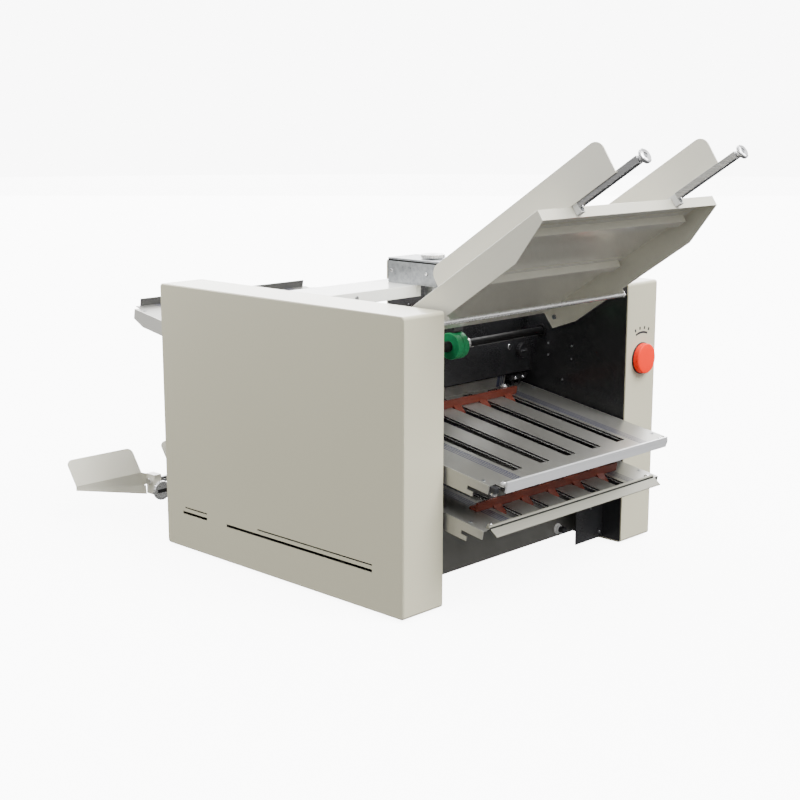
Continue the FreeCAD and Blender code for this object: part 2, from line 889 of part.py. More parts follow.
def guide_clip(x, inward):
    """Block before the tray's front lip, with a leg over the tray's edge, that the clamp rod pulls on."""
    span = rail_span(x, inward)
    outline = [
        (rail_end_t + seat_gap, rail_top - seat_gap),
        (clip_leg, rail_top - seat_gap),
        (clip_leg, seat_gap),
        (-seat_gap, seat_gap),
        (-seat_gap, rail_top - clip_height),
        (rail_end_t + seat_gap, rail_top - clip_height),
    ]
    body = profile_x(outline, span[0] + rail_wall, span[1] - rail_wall)
    hole = rod_y(rail_end_t - 1, -seat_gap - 2, sum(span) / 2, rod_n, guide_rod_radius + fit_gap)
    return on_tray(body.cut(hole))


def guide_knob(x, inward):
    """Disc knob with the threaded rod that runs through the rail into the clip."""
    middle = sum(rail_span(x, inward)) / 2
    nut_t = rail_front_t - seat_gap - knob_nut
    disc_t = nut_t - knob_nut + 1
    rod = rod_y(disc_t, rail_end_t + 5, middle, rod_n, guide_rod_radius)
    nut = knurled(4.6, 0.6, 3, nut_t, nut_t + knob_nut)
    disc = knurled(knob_disc_radius, 0.6, 16, disc_t - knob_disc, disc_t)
    return on_tray(union([rod] + [moved(piece, x=middle, z=rod_n) for piece in (nut, disc)]))


# ================================================================ beam and separator
def top_beam():
    """Cross beam between the side plates, level with the covers, with both edges folded down."""
    x = (-clear_x, clear_x)
    y = (beam_front_y, beam_rear_y)
    outer = box(x, y, (cover_top_z - beam_lip, cover_top_z))
    inner = box(
        (-clear_x - 1, clear_x + 1),
        (y[0] + panel_sheet, y[1] - panel_sheet),
        (cover_top_z - beam_lip - 1, cover_top_z - panel_sheet),
    )
    slot = box((-18, 18), (sep_knob_y - 12, beam_front_y + 8), (cover_top_z - beam_lip - 1, cover_top_z + 1))
    return outer.cut([inner, slot])


def separator_channel():
    """Channel on the beam, open below, that reaches forward over the feed roller."""
    top_z = cover_top_z + channel_height
    x = (-channel_half_width, channel_half_width)
    y = (channel_front_y, channel_rear_y)
    outer = box(x, y, (cover_top_z, top_z))
    inner = box(
        (-channel_half_width + channel_wall, channel_half_width - channel_wall),
        (y[0] - 1, y[1] + 1),
        (cover_top_z - 1, top_z - channel_wall),
    )
    hole = rod_z(top_z - 5, top_z + 1, 0, sep_knob_y, sep_screw_radius + fit_gap)
    return outer.cut([inner, hole])


def separator_holder():
    """Stem under the adjusting screw and an arm forward to the pad."""
    top_z = cover_top_z + channel_height - channel_wall - sep_travel - 0.6
    pad_top = pad_bottom_z() + 9.0
    stem = box((-9, 9), (sep_knob_y - 8, sep_knob_y + 8), (pad_top, top_z))
    arm = box(
        (-sep_arm_half, sep_arm_half),
        (feed_y - sep_pad_length / 2 - 2, sep_knob_y + 8),
        (pad_top, pad_top + sep_arm_height),
    )
    hole = rod_z(screw_bottom_z() - sep_travel - 2, top_z + 1, 0, sep_knob_y, sep_screw_radius + fit_gap)
    return union([stem, arm]).cut(hole)


def pad_bottom_z():
    return feed_z + feed_radius + seat_gap


def screw_bottom_z():
    return cover_top_z + 2


def separator_pad():
    pad = box(
        (-sep_pad_half, sep_pad_half),
        (feed_y - sep_pad_length / 2, feed_y + sep_pad_length / 2),
        (pad_bottom_z(), pad_bottom_z() + 9.0),
    )
    return round_edges(pad, 2.5, lambda c: c.z < pad_bottom_z() + 0.1 and abs(c.x) < 0.1)


def separator_knob():
    """Flat ridged knob on the adjusting screw."""
    top_z = cover_top_z + channel_height
    screw = rod_z(screw_bottom_z(), top_z + seat_gap + 1, 0, sep_knob_y, sep_screw_radius)
    collar = knurled(sep_collar_radius, 0.6, 6, 0, sep_collar)
    disc = knurled(sep_knob_radius, 0.8, 24, sep_collar, sep_collar + sep_knob_height)
    head = turned(union([collar, disc]), X_AXIS, 90)
    return union([screw, moved(head, y=sep_knob_y, z=top_z + seat_gap)])


# ================================================================ panels, guides inside, delivery
def front_panel():
    """Cross panel below the lower fold plate, with a folded top edge."""
    z = (front_panel_z, front_panel_z + front_panel_height)
    wall = box((-span_x, span_x), (front_panel_y, front_panel_y + panel_sheet), z)
    top = box((-span_x, span_x), (front_panel_y, front_panel_y + 20), (z[1] - panel_sheet, z[1]))
    return union([wall, top])


def terminal_plate():
    """Upright bracket before the front panel, folded back along the right side plate."""
    z = (terminal_z, terminal_z + terminal_height)
    front = box((terminal_left_x, span_x), (terminal_y, terminal_y + panel_sheet), z)
    side = box((span_x - panel_sheet, span_x), (terminal_y, front_panel_y - seat_gap), z)
    return union([front, side])


def cable_gland():
    """Ring in the front panel that an electric lead passes through."""
    ring = rod_y(front_panel_y - gland_length, front_panel_y, gland_x, gland_z, gland_radius)
    bore = rod_y(front_panel_y - gland_length - 1, front_panel_y - 2, gland_x, gland_z, gland_bore)
    return ring.cut(bore)


def inlet_guides():
    """Two bent guides that lead the sheet from the feed roller to the first nip."""
    nip_z = (roller_z(0) + roller_z(1)) / 2
    low_y = roller_y - 13
    skirt_y = feed_y + feed_radius + 3
    crest_z = feed_z - 18
    lower = [(skirt_y, roller_z(1) + 5), (skirt_y, crest_z), (low_y, nip_z)]
    upper = [(roller_y - 30, pad_bottom_z() + 3), (roller_y - 11, roller_z(0) + roller_radius + 6)]
    return [sheet_strip(lower), sheet_strip(upper)]


def sheet_strip(path):
    return bent_sheet(path, sheet, -span_x, span_x)


def chute_z(y):
    run = chute_rear_y - chute_front_y
    return chute_front_z + (chute_rear_z - chute_front_z) * (y - chute_front_y) / run


def delivery_chute():
    """Sloping sheet that carries the folded paper out at the rear."""
    path = [(chute_front_y, chute_front_z), (chute_rear_y, chute_rear_z)]
    floor = bent_sheet(path, sheet, -clear_x, clear_x)
    side_path = [
        (chute_front_y, chute_front_z),
        (chute_rear_y, chute_rear_z),
        (chute_rear_y, chute_rear_z + chute_side),
        (chute_front_y, chute_front_z + chute_side),
    ]
    side = profile_x(side_path, clear_x - sheet, clear_x)
    return union([floor, side, mirrored(side)])


def rear_panel():
    """Channel-shaped rear cross panel whose two webs guide the delivery rods."""
    low_z = cover_base_z + cover_sheet + seat_gap
    rear = rear_panel_y
    front = rear_panel_y - rear_panel_depth
    x = (-span_x, span_x)
    web = box(x, (rear, rear + panel_sheet), (low_z, chute_z(rear + panel_sheet) - seat_gap))
    inner = box(x, (front, front + panel_sheet), (low_z, delivery_z + 14))
    floor = box(x, (front, rear + panel_sheet), (low_z, low_z + panel_sheet))
    holes = []
    for side in (-1, 1):
        hole_x = side * delivery_rod_x
        holes.append(rod_y(front - 1, rear + 5, hole_x, delivery_z, delivery_rod_radius + fit_gap))
    return union([web, inner, floor]).cut(holes)


def delivery_rods():
    cross = rod_x(-cross_rod_half, cross_rod_half, cross_rod_y, delivery_z, cross_rod_radius)
    rods = [
        rod_y(delivery_rod_start, cross_rod_y, side * delivery_rod_x, delivery_z, delivery_rod_radius)
        for side in (-1, 1)
    ]
    return union([cross] + rods)


def delivery_hub(hub_x):
    """Block that slides on the cross rod, with a threaded hole for its thumb knob."""
    y = (cross_rod_y - hub_depth / 2, cross_rod_y + hub_depth / 2)
    z = (delivery_z - hub_bottom, delivery_z + hub_top)
    hub = box((hub_x - hub_width / 2, hub_x + hub_width / 2), y, z)
    bore = rod_x(hub_x - hub_width, hub_x + hub_width, cross_rod_y, delivery_z, cross_rod_radius + fit_gap)
    thread = rod_y(y[0] - 1, cross_rod_y, hub_x, knob_z(), delivery_screw_radius + fit_gap)
    return hub.cut(bore).cut(thread)


def delivery_stop(hub_x):
    """Catch plate that leans to the rear above a tapered web, carried by its hub."""
    fold_y = cross_rod_y + hub_depth / 2
    fold_z = delivery_z + hub_top + 3
    right = hub_x - hub_width / 2 - stop_plate_gap
    left = right - stop_plate_width
    low_z = fold_z - stop_web_drop
    plate = box((left, right), (0, stop_plate_sheet), (0, stop_plate_height))
    plate = round_edges(
        plate,
        stop_plate_corner,
        lambda c: c.z > stop_plate_height - 0.1 and abs(c.y - stop_plate_sheet / 2) < 0.1,
    )
    plate = moved(turned(plate, X_AXIS, -stop_plate_lean), y=fold_y, z=fold_z)
    outline = [
        (left, fold_z),
        (right, fold_z),
        (hub_x, fold_z - 6),
        (hub_x, low_z + 2),
        (right, low_z),
        (left, fold_z - 3),
    ]
    web = profile_y(outline, fold_y, fold_y + stop_plate_sheet)
    hem_right = right + stop_hem_reach
    hem = [(left, 0), (hem_right, 0), (hem_right, -stop_hem), (left, -stop_hem / 3)]
    hem = profile_y(hem, 0, stop_plate_sheet)
    fall = math.degrees(math.atan2(stop_web_drop - 3, stop_plate_width))
    hem = turned(turned(hem, X_AXIS, -stop_hem_lean, V(left, 0, 0)), Y_AXIS, fall, V(left, 0, 0))
    hem = moved(hem, y=fold_y, z=fold_z - 2)
    return union([delivery_hub(hub_x), plate, web, hem])


def knob_z():
    return delivery_z - 13.0


def delivery_stop_knob(hub_x):
    """Ridged thumb knob whose screw clamps the hub to the cross rod."""
    face = cross_rod_y - hub_depth / 2
    screw = rod_y(face - delivery_collar - 1, cross_rod_y - 7, hub_x, knob_z(), delivery_screw_radius)
    collar = knurled(delivery_collar_radius, 0.6, 6, face - delivery_collar, face - seat_gap)
    low = face - delivery_collar - delivery_knob
    disc = knurled(delivery_knob_radius, 0.8, 20, low, face - delivery_collar)
    return union([screw] + [moved(piece, x=hub_x, z=knob_z()) for piece in (collar, disc)])


def speed_knob():
    face = front_y - seat_gap
    disc = rod_y(face - speed_height, face, speed_x, speed_z, speed_radius)
    disc = bevel_edges(disc, 2.5, lambda c: c.y < face - 1)
    shaft = rod_y(face, front_y + 8, speed_x, speed_z, speed_shaft_radius)
    return union([disc, shaft])


# ================================================================ write one file for each node
os.makedirs("parts", exist_ok=True)

save("left_cover", [left_cover()])
save("right_cover", [right_cover()])
save("left_frame_plate", [left_frame_plate()])
save("right_frame_plate", [right_frame_plate()])
save("rubber_feet", rubber_feet())
save("tie_rod", [tie_rod()])
for number in range(roller_count):
    save("fold_roller_%d" % (number + 1), [fold_roller(number)])
save("feed_shaft", [feed_shaft()])
save("feed_tyres", feed_tyres())
save("drive_belts", drive_belts())
save("drive_motor", [drive_motor()])
save("motor_pulley", [motor_pulley()])
for fold in FOLDS:
    save(fold.node + "_plate", [fold.place(fold_plate(fold))])
    save(fold.node + "_bar", [fold.place(end_bar(fold))])
    save(fold.node + "_stop", [fold.place(stop_bar(fold))])
    save(fold.node + "_stop_screws", [fold.place(screw) for screw in stop_screws(fold.stop)])
save("feed_tray", [feed_tray()])
for name, guide_x, inward in (("left", left_guide_x, 1), ("right", right_guide_x, -1)):
    save(name + "_guide", [side_guide(guide_x, inward)])
    save(name + "_guide_rail", [guide_rail(guide_x, inward)])
    save(name + "_guide_clip", [guide_clip(guide_x, inward)])
    save(name + "_guide_knob", [guide_knob(guide_x, inward)])
save("top_beam", [top_beam()])
save("separator_channel", [separator_channel()])
save("separator_holder", [separator_holder()])
save("separator_pad", [separator_pad()])
save("separator_knob", [separator_knob()])
save("front_panel", [front_panel()])
save("terminal_plate", [terminal_plate()])
save("cable_gland", [cable_gland()])
save("inlet_guides", inlet_guides())
save("delivery_chute", [delivery_chute()])
save("rear_panel", [rear_panel()])
save("delivery_rods", [delivery_rods()])
for name, hub_x in (("left", left_hub_x), ("right", right_hub_x)):
    save(name + "_delivery_stop", [delivery_stop(hub_x)])
    save(name + "_delivery_knob", [delivery_stop_knob(hub_x)])
save("speed_knob", [speed_knob()])
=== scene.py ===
from collections import namedtuple
from math import atan2, cos, hypot, pi, radians, sin

import bmesh
import bpy
from mathutils import Matrix, Vector


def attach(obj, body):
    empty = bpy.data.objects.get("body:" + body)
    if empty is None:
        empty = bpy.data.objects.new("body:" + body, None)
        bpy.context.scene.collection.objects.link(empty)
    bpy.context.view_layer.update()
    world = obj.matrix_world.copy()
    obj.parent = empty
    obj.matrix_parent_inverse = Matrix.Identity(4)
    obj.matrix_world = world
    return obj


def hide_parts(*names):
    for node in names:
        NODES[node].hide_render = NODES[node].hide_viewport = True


bl_info = {
    "name": "Paper Folding Machine",
    "version": (1, 0, 0),
    "blender": (4, 5, 0),
    "location": "View3D > Sidebar > Folder",
    "description": "Gives the frame of a paper folding machine its finishes and its fine pieces",
    "category": "Object",
}

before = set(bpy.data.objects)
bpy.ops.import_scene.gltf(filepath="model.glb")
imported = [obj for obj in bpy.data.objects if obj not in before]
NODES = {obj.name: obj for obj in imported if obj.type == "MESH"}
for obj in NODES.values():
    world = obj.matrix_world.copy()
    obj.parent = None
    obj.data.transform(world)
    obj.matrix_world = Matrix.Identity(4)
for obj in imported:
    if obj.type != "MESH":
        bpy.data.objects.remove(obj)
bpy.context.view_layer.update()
MM = 0.001
TO_METRES = Matrix.Scale(MM, 4)
HERE = Matrix.Identity(4)

# directions that a part drawn along Z can face
RIGHT, FORWARD, REARWARD, UP, DOWN = (1, 0, 0), (0, -1, 0), (0, 1, 0), (0, 0, 1), (0, 0, -1)

# places in the machine, in millimetres
FRONT_Y, REAR_Y = -252, 252
INNER_X, COLLAR_X = 203.5, 195.9
ROLLER_Y, ROLLER_Z = -30, (278, 246, 214, 182, 150, 118)
FEED_Y, FEED_Z = -88, 316.5
MOTOR_Y, MOTOR_Z = 30, 54
ROD_Y, ROD_Z = -244, 387
SKIRT_Y, BEAM_Y, PANEL_Y, TERMINAL_Y = -65, -37, -188, -216
TRAY_FRONT = (0, -394.33, 539.97)
PLATE_SCREWS = (
    (-131.7, 243.6), (-148.6, 278), (-103, 279.5), (-102.9, 297.8),
    (-149.2, 298.4), (200, 330), (120, 60), (-150, 60),
)

# fold plates: y and z of the inner end, side +1 for rear and -1 for front, place of the stop
Fold = namedtuple("Fold", "y z side length stop")
FOLDS = {
    "rear_upper": Fold(-14, 265, 1, 463, 250),
    "front_upper": Fold(-46, 233, -1, 298.5, 34),
    "rear_lower": Fold(-14, 201, 1, 360, 120),
    "front_lower": Fold(-46, 169, -1, 276.5, 215),
}

# where a finish changes on its piece, in metres
LOUVRE_Y, LOUVRE_Z, LOUVRE_WALL = 0.220, (0.0563, 0.0699), (0.2757, 0.2773)
LID_SHADE = (0.4366, 0.4388)
SLEEVE_END = 0.1958
SCALE, SCALE_TICKS = (0.1345, 0.1505), 0.1420
RULE_PITCH, RULE_WIDTH, TICK_WIDTH = 0.0045, 0.0022, 0.0012
DECK_INSIDE, DECK_FLANGE, DECK_SHADE_SPAN = 0.1900, 0.1964, (0.170, 0.250)
BAR_GROOVE = (0.0002, 0.0023)
PRINT_DEPTH, JOINT_TOP, JOINT_END, SHEET_END = -0.0004, -0.0003, -0.0030, -0.0037

DECK = (0.33, 0.326, 0.306)
SHADOW = (0.008, 0.008, 0.009)

# smallest face, in square millimetres, whose edges are folded with a wide radius
BROAD_FACE = 1500.0


# ---------- sizes and colours
class FolderSizes(bpy.types.PropertyGroup):
    """Sizes of the fine pieces that a maker would change."""

    tray_tilt: bpy.props.FloatProperty(
        name="Tray Tilt", description="Slope of the feed tray",
        default=radians(33.36), subtype="ANGLE",
    )
    fold_tilt: bpy.props.FloatProperty(
        name="Fold Plate Tilt", description="Slope of the fold plates",
        default=radians(9.6), subtype="ANGLE",
    )
    edge_round: bpy.props.FloatProperty(
        name="Edge Rounding", description="Rounding of sheet metal edges",
        default=0.0004, unit="LENGTH",
    )
    tyre_groove: bpy.props.FloatProperty(
        name="Tyre Groove", description="Depth of the grooves in the feed tyres",
        default=0.0007, unit="LENGTH",
    )
    knurl_depth: bpy.props.FloatProperty(
        name="Knurl Depth", description="Depth of the grip on turned knobs",
        default=0.0006, unit="LENGTH",
    )
    scale_division: bpy.props.FloatProperty(
        name="Scale Division", description="Distance of the ticks along a fold plate",
        default=0.005, unit="LENGTH",
    )


class FolderColours(bpy.types.PropertyGroup):
    """Colours of the coats and plastics."""

    coat: bpy.props.FloatVectorProperty(
        name="Coat", description="Powder coat of the side covers",
        subtype="COLOR", default=(0.60, 0.57, 0.425),
    )
    enamel: bpy.props.FloatVectorProperty(
        name="Enamel", description="Black enamel of the inner plates",
        subtype="COLOR", default=(0.022, 0.022, 0.024),
    )
    panel: bpy.props.FloatVectorProperty(
        name="Panel", description="Paint of the cross panels",
        subtype="COLOR", default=(0.115, 0.112, 0.100),
    )
    stop: bpy.props.FloatVectorProperty(
        name="Fold Stop", description="Tinted plastic of the fold stops",
        subtype="COLOR", default=(0.155, 0.038, 0.024),
    )
    tyre: bpy.props.FloatVectorProperty(
        name="Feed Tyre", description="Rubber of the feed tyres",
        subtype="COLOR", default=(0.01, 0.33, 0.11),
    )
    speed: bpy.props.FloatVectorProperty(
        name="Speed Knob", description="Plastic of the speed knob",
        subtype="COLOR", default=(1.0, 0.022, 0.002),
    )


# ---------- shader maths
class Value:
    """A socket that takes part in sums, so that a pattern reads as an expression."""

    def __init__(self, finish, socket):
        self.finish = finish
        self.socket = socket

    def sum(self, operation, *values):
        settings = {"operation": operation}
        return self.finish.node("ShaderNodeMath", settings, dict(enumerate(values)))

    def __add__(self, other):
        return self.sum("ADD", self, other)

    def __sub__(self, other):
        return self.sum("SUBTRACT", self, other)

    def __rsub__(self, other):
        return self.sum("SUBTRACT", other, self)

    def __mul__(self, other):
        return self.sum("MULTIPLY", self, other)

    def __mod__(self, other):
        return self.sum("FLOORED_MODULO", self, other)

    def __abs__(self):
        return self.sum("ABSOLUTE", self)

    def __lt__(self, other):
        return self.sum("LESS_THAN", self, other)

    def __gt__(self, other):
        return self.sum("GREATER_THAN", self, other)

    __radd__ = __add__
    __rmul__ = __mul__

    def between(self, low, high):
        """1 where the value lies between two others, 0 elsewhere."""
        return (self > low) * (self < high)


class Finish:
    """One material and the nodes that give it its surface."""

    def __init__(self, name):
        self.material = bpy.data.materials.new(name)
        self.material.use_nodes = True
        self.tree = self.material.node_tree
        self.shader = self.tree.nodes["Principled BSDF"]
        self.colours = bpy.context.scene.folder_colours

    def node(self, kind, settings=None, inputs=None, output=0):
        """Any node, with its settings and the values or links of its sockets."""
        made = self.tree.nodes.new(kind)
        for name, value in (settings or {}).items():
            setattr(made, name, value)
        for key, value in (inputs or {}).items():
            socket = made.inputs[key] if isinstance(key, int) else self.socket(made, key)
            if isinstance(value, Value):
                self.tree.links.new(value.socket, socket)
            else:
                socket.default_value = value
        return Value(self, made.outputs[output])

    def socket(self, made, key):
        return next(s for s in made.inputs if key in (s.identifier, s.name))

    def place(self, scale=(1, 1, 1), turn=(0, 0, 0)):
        """Object coordinates in metres, stretched and turned."""
        where = self.node("ShaderNodeTexCoord", output=3)
        sockets = {"Vector": where, "Scale": scale, "Rotation": turn}
        return self.node("ShaderNodeMapping", inputs=sockets)

    def along(self, vector, axis):
        return self.node("ShaderNodeSeparateXYZ", inputs={0: vector}, output=axis)

    def noise(self, scale, vector, detail=3.0, rough=0.5):
        sockets = {"Scale": scale, "Detail": detail, "Roughness": rough, "Vector": vector}
        return self.node("ShaderNodeTexNoise", inputs=sockets)

    def spread(self, value, low, high, to_low, to_high):
        """A value between low and high moved between two others."""
        sockets = {"Value": value, "From Min": low, "From Max": high}
        sockets.update({"To Min": to_low, "To Max": to_high})
        return self.node("ShaderNodeMapRange", inputs=sockets)

    def blend(self, first, second, factor):
        sockets = {"A_Color": colour4(first), "B_Color": colour4(second), "Factor_Float": factor}
        return self.node("ShaderNodeMix", {"data_type": "RGBA"}, sockets, output=2)

    def bump(self, height, distance, strength=1.0):
        sockets = {"Height": height, "Distance": distance, "Strength": strength}
        self.put("Normal", self.node("ShaderNodeBump", inputs=sockets))

    def lay(self, colour, mask):
        """Lay a colour over the base colour where the mask is 1."""
        base = Value(self, self.shader.inputs["Base Color"].links[0].from_socket)
        self.paint(base, colour, mask)

    def paint(self, first, second, factor):
        """Blend two colours into the base colour."""
        self.put("Base Color", self.blend(first, second, factor))

    def roughen(self, value, low, high, start=0.3, end=0.7):
        """Roughness that goes from low to high as a value goes from start to end."""
        self.put("Roughness", self.spread(value, start, end, low, high))

    def put(self, name, value):
        socket = self.shader.inputs[name]
        if isinstance(value, Value):
            self.tree.links.new(value.socket, socket)
        else:
            socket.default_value = colour4(value) if socket.type == "RGBA" else value


def colour4(value):
    """A colour with its alpha; anything else stays as it is."""
    if isinstance(value, (Value, float, int)) or len(value) == 4:
        return value
    return (*value, 1.0)


def shade(colour, factor):
    return tuple(min(1.0, part * factor) for part in colour)


# ---------- finishes
def powder_coat(finish, colour, gloss=0.36):
    """Stoved powder coat: orange peel, faint cloudiness and a soft shine."""
    here = finish.place()
    cloud = finish.noise(3, here, 2)
    peel = finish.noise(420, here, 2, 0.55)
    speck = finish.noise(1500, here, 1)
    tone = finish.blend(shade(colour, 0.965), shade(colour, 1.03), cloud)
    finish.paint(tone, shade(colour, 0.90), (speck > 0.68) * 0.25)
    finish.roughen(cloud + peel * 0.3, gloss - 0.05, gloss + 0.07, 0.3, 1.1)
    finish.put("Coat Weight", 0.5)
    finish.put("Coat Roughness", 0.13)
    finish.bump(peel + speck * 0.15, 0.00006, 0.5)


def cover_coat(finish):
    """Cover coat, with painted shade on the walls inside the louvres."""
    powder_coat(finish, finish.colours.coat)
    x, y, z = (finish.along(finish.place(), axis) for axis in range(3))
    wall = abs(x).between(*LOUVRE_WALL)
    # painted shade: the walls of the louvre slots take the shadow colour
    finish.lay(SHADOW, wall * (abs(y) < LOUVRE_Y) * z.between(*LOUVRE_Z))


def tray_coat(finish):
    powder_coat(finish, (0.70, 0.68, 0.575), 0.33)


def guide_coat(finish):
    powder_coat(finish, (0.84, 0.815, 0.70), 0.33)


def tray_underside_shade(finish):
    """Greyer, rougher coat on the faces of the tray that look down: painted shade."""
    powder_coat(finish, (0.68, 0.66, 0.58), 0.40)


def beam_coat(finish):
    powder_coat(finish, (0.86, 0.865, 0.82), 0.30)


def black_enamel(finish):
    """Glossy black enamel with dust and faint ripples."""
    here = finish.place()
    dust = finish.noise(900, here, 3, 0.7)
    ripple = finish.noise(14, here, 2)
    finish.paint(finish.colours.enamel, (0.05, 0.05, 0.048), (dust > 0.66) * 0.35)
    finish.roughen(dust + ripple, 0.20, 0.38, 0.6, 1.4)
    finish.put("Coat Weight", 0.4)
    finish.put("Coat Roughness", 0.12)
    finish.bump(ripple + dust * 0.05, 0.0002, 0.35)


def panel_coat(finish):
    powder_coat(finish, finish.colours.panel, 0.42)


def brushed(finish, colour, turn, stretch, rough):
    """Brushed metal: fine lines of the brush, and broad streaks along them."""
    fine = finish.noise(1, finish.place(stretch, turn), 3, 0.65)
    streak = finish.noise(1, finish.place(tuple(part / 12 for part in stretch), turn), 2)
    lines = fine * 0.7 + streak * 0.3
    finish.paint(shade(colour, 0.80), shade(colour, 1.12), lines)
    finish.put("Metallic", 1)
    finish.roughen(lines, rough - 0.08, rough + 0.10, 0.2, 0.8)
    finish.bump(fine, 0.00003, 0.5)
    return lines


def inner_end(name):
    """Inner end of a fold plate in the axes of its slope, in metres."""
    tilt = bpy.context.scene.folder_sizes.fold_tilt
    fold = FOLDS[name]
    return MM * (Matrix.Rotation(-tilt, 4, "X") @ Vector((0, fold.y, fold.z)))


def deck_of(name):
    """Finish of one fold plate, with its scales, painted shade on the walls of the joint between
    its two sheets, a painted highlight on the lower sheet's face in the slots, and on the front
    lower plate painted shade deep under the plate above.
    """

    def deck(finish):
        sizes = bpy.context.scene.folder_sizes
        slope = (-sizes.fold_tilt, 0, 0)
        lines = brushed(finish, DECK, slope, (420, 5, 420), 0.38)
        flat = finish.place(turn=slope)
        across = abs(finish.along(flat, 0))
        length = abs(finish.along(flat, 1))
        depth = finish.along(flat, 2) - inner_end(name).z
        strip = across.between(*SCALE)
        rules = ((across - SCALE[0]) % RULE_PITCH < RULE_WIDTH) * strip
        ticks = (length % sizes.scale_division < TICK_WIDTH) * (across < SCALE_TICKS) * strip
        mark = (rules + ticks) > 0.5
        steel = finish.blend(shade(DECK, 0.86), shade(DECK, 1.08), lines)
        ink = mark * (depth > PRINT_DEPTH) * 0.95
        printed = finish.blend(steel, (0.030, 0.032, 0.065), ink)
        inside = across < DECK_INSIDE
        # painted shade on the walls of the joint between the two sheets and below the lower sheet
        joint_shade = (depth.between(JOINT_END, JOINT_TOP) + (depth < SHEET_END)) * inside
        # painted highlight on the lower sheet's face seen through the slots
        under = depth.between(SHEET_END, JOINT_END) * inside
        folded = (across > DECK_FLANGE) * (0.9 if FOLDS[name].side > 0 else 0.25)
        plain = finish.blend(printed, (0.62, 0.61, 0.565), folded)
        # painted shade deep under the upper plate, darker towards the inner end of the front
        # lower plate
        if name == "front_lower":
            deep = finish.spread(length, *DECK_SHADE_SPAN, 0.65, 0)
            plain = finish.blend(plain, (0.035, 0.034, 0.032), deep)
        lower = finish.blend(plain, (0.90, 0.895, 0.87), under)
        finish.paint(lower, (0.010, 0.010, 0.011), joint_shade)
        dull = mark * 0.6 + joint_shade * 0.6 + folded * 0.6 + under * 0.7
        finish.put("Metallic", 0.78 - dull)

    deck.__name__ = name + "_deck"
    return deck


def chute_steel(finish):
    brushed(finish, (0.58, 0.575, 0.55), (0, 0, 0), (700, 5, 700), 0.34)


def bar_of(name):
    """Finish of one end bar, drawn along its length, with the shadow of its groove."""
    # painted light and shade: the same bar is toned per plate to the light that reaches it
    tones = {"front_upper": (0.80, 0.805, 0.82), "rear_upper": (0.085, 0.085, 0.082)}
    tone = tones.get(name, (0.27, 0.265, 0.22))

    def bar(finish):
        brushed(finish, tone, (0, 0, 0), (4, 800, 800), 0.38)
        finish.put("Metallic", 0.45)
        if name == "front_lower":
            slope = (-bpy.context.scene.folder_sizes.fold_tilt, 0, 0)
            along = finish.along(finish.place(turn=slope), 1)
            reach = (along - inner_end(name).y) * FOLDS[name].side - FOLDS[name].length * MM
            finish.lay((0.02, 0.02, 0.018), reach.between(*BAR_GROOVE))

    bar.__name__ = name + "_end_bar"
    return bar


def rail_steel(finish):
    """Drawn rail, its dark drawing lines along the slope of the tray."""
    tilt = bpy.context.scene.folder_sizes.tray_tilt
    brushed(finish, (0.46, 0.46, 0.46), (tilt, 0, 0), (900, 5, 900), 0.26)


def chrome(finish):
    """Bright plating with fine wear that breaks the mirror."""
    here = finish.place()
    wear = finish.noise(260, here, 4, 0.6)
    finish.paint((0.72, 0.72, 0.73), (0.84, 0.84, 0.85), wear)
    finish.put("Metallic", 1)
    finish.roughen(wear, 0.07, 0.20, 0.3, 0.8)
    finish.bump(wear, 0.00002, 0.4)


def zinc_steel(finish):
    """Zinc-plated sheet: cloudy crystals and small pits."""
    here = finish.place()
    cloud = finish.noise(95, here, 5, 0.7)
    cell = finish.node("ShaderNodeTexVoronoi", inputs={"Scale": 160, "Vector": here})
    pits = finish.noise(1100, here, 2)
    tone = finish.blend((0.13, 0.14, 0.15), (0.42, 0.43, 0.44), cloud * 0.75 + cell * 0.4)
    finish.paint(tone, (0.10, 0.10, 0.11), (pits > 0.62) * 0.5)
    finish.put("Metallic", 0.9)
    finish.roughen(cloud, 0.26, 0.45)
    finish.bump(cloud + pits * 0.3, 0.00006, 0.5)


def channel_zinc(finish):
    """Zinc plate with painted shade in a band under the folded lid."""
    zinc_steel(finish)
    # painted shade: the band under the overhanging lid takes the shadow colour
    finish.lay(SHADOW, finish.along(finish.place(), 2).between(*LID_SHADE))


def oiled_steel(finish):
    """Blackened shaft and bushes under a film of oil."""
    here = finish.place((900, 14, 14))
    rings = finish.noise(1, here, 3)
    finish.paint((0.005, 0.005, 0.006), (0.016, 0.016, 0.016), rings)
    finish.put("Metallic", 0.2)
    finish.put("Specular IOR Level", 0.3)
    finish.roughen(rings, 0.44, 0.60)
    finish.bump(rings, 0.00002, 0.5)


def satin_alu(finish):
    """Bright turned aluminium of knobs and the tie rod."""
    here = finish.place()
    lathe = finish.noise(700, here, 3, 0.6)
    finish.paint((0.74, 0.74, 0.73), (0.90, 0.90, 0.89), lathe)
    finish.put("Metallic", 0.85)
    finish.roughen(lathe, 0.20, 0.34)
    finish.bump(lathe, 0.00002, 0.5)


def turned_steel(finish):
    """Machined steel with rings of the tool round its axis along X."""
    here = finish.place((1600, 12, 12))
    rings = finish.noise(1, here, 2)
    finish.paint((0.42, 0.42, 0.42), (0.62, 0.62, 0.61), rings)
    finish.put("Metallic", 1)
    finish.roughen(rings, 0.22, 0.38)
    finish.bump(rings, 0.00002, 0.5)


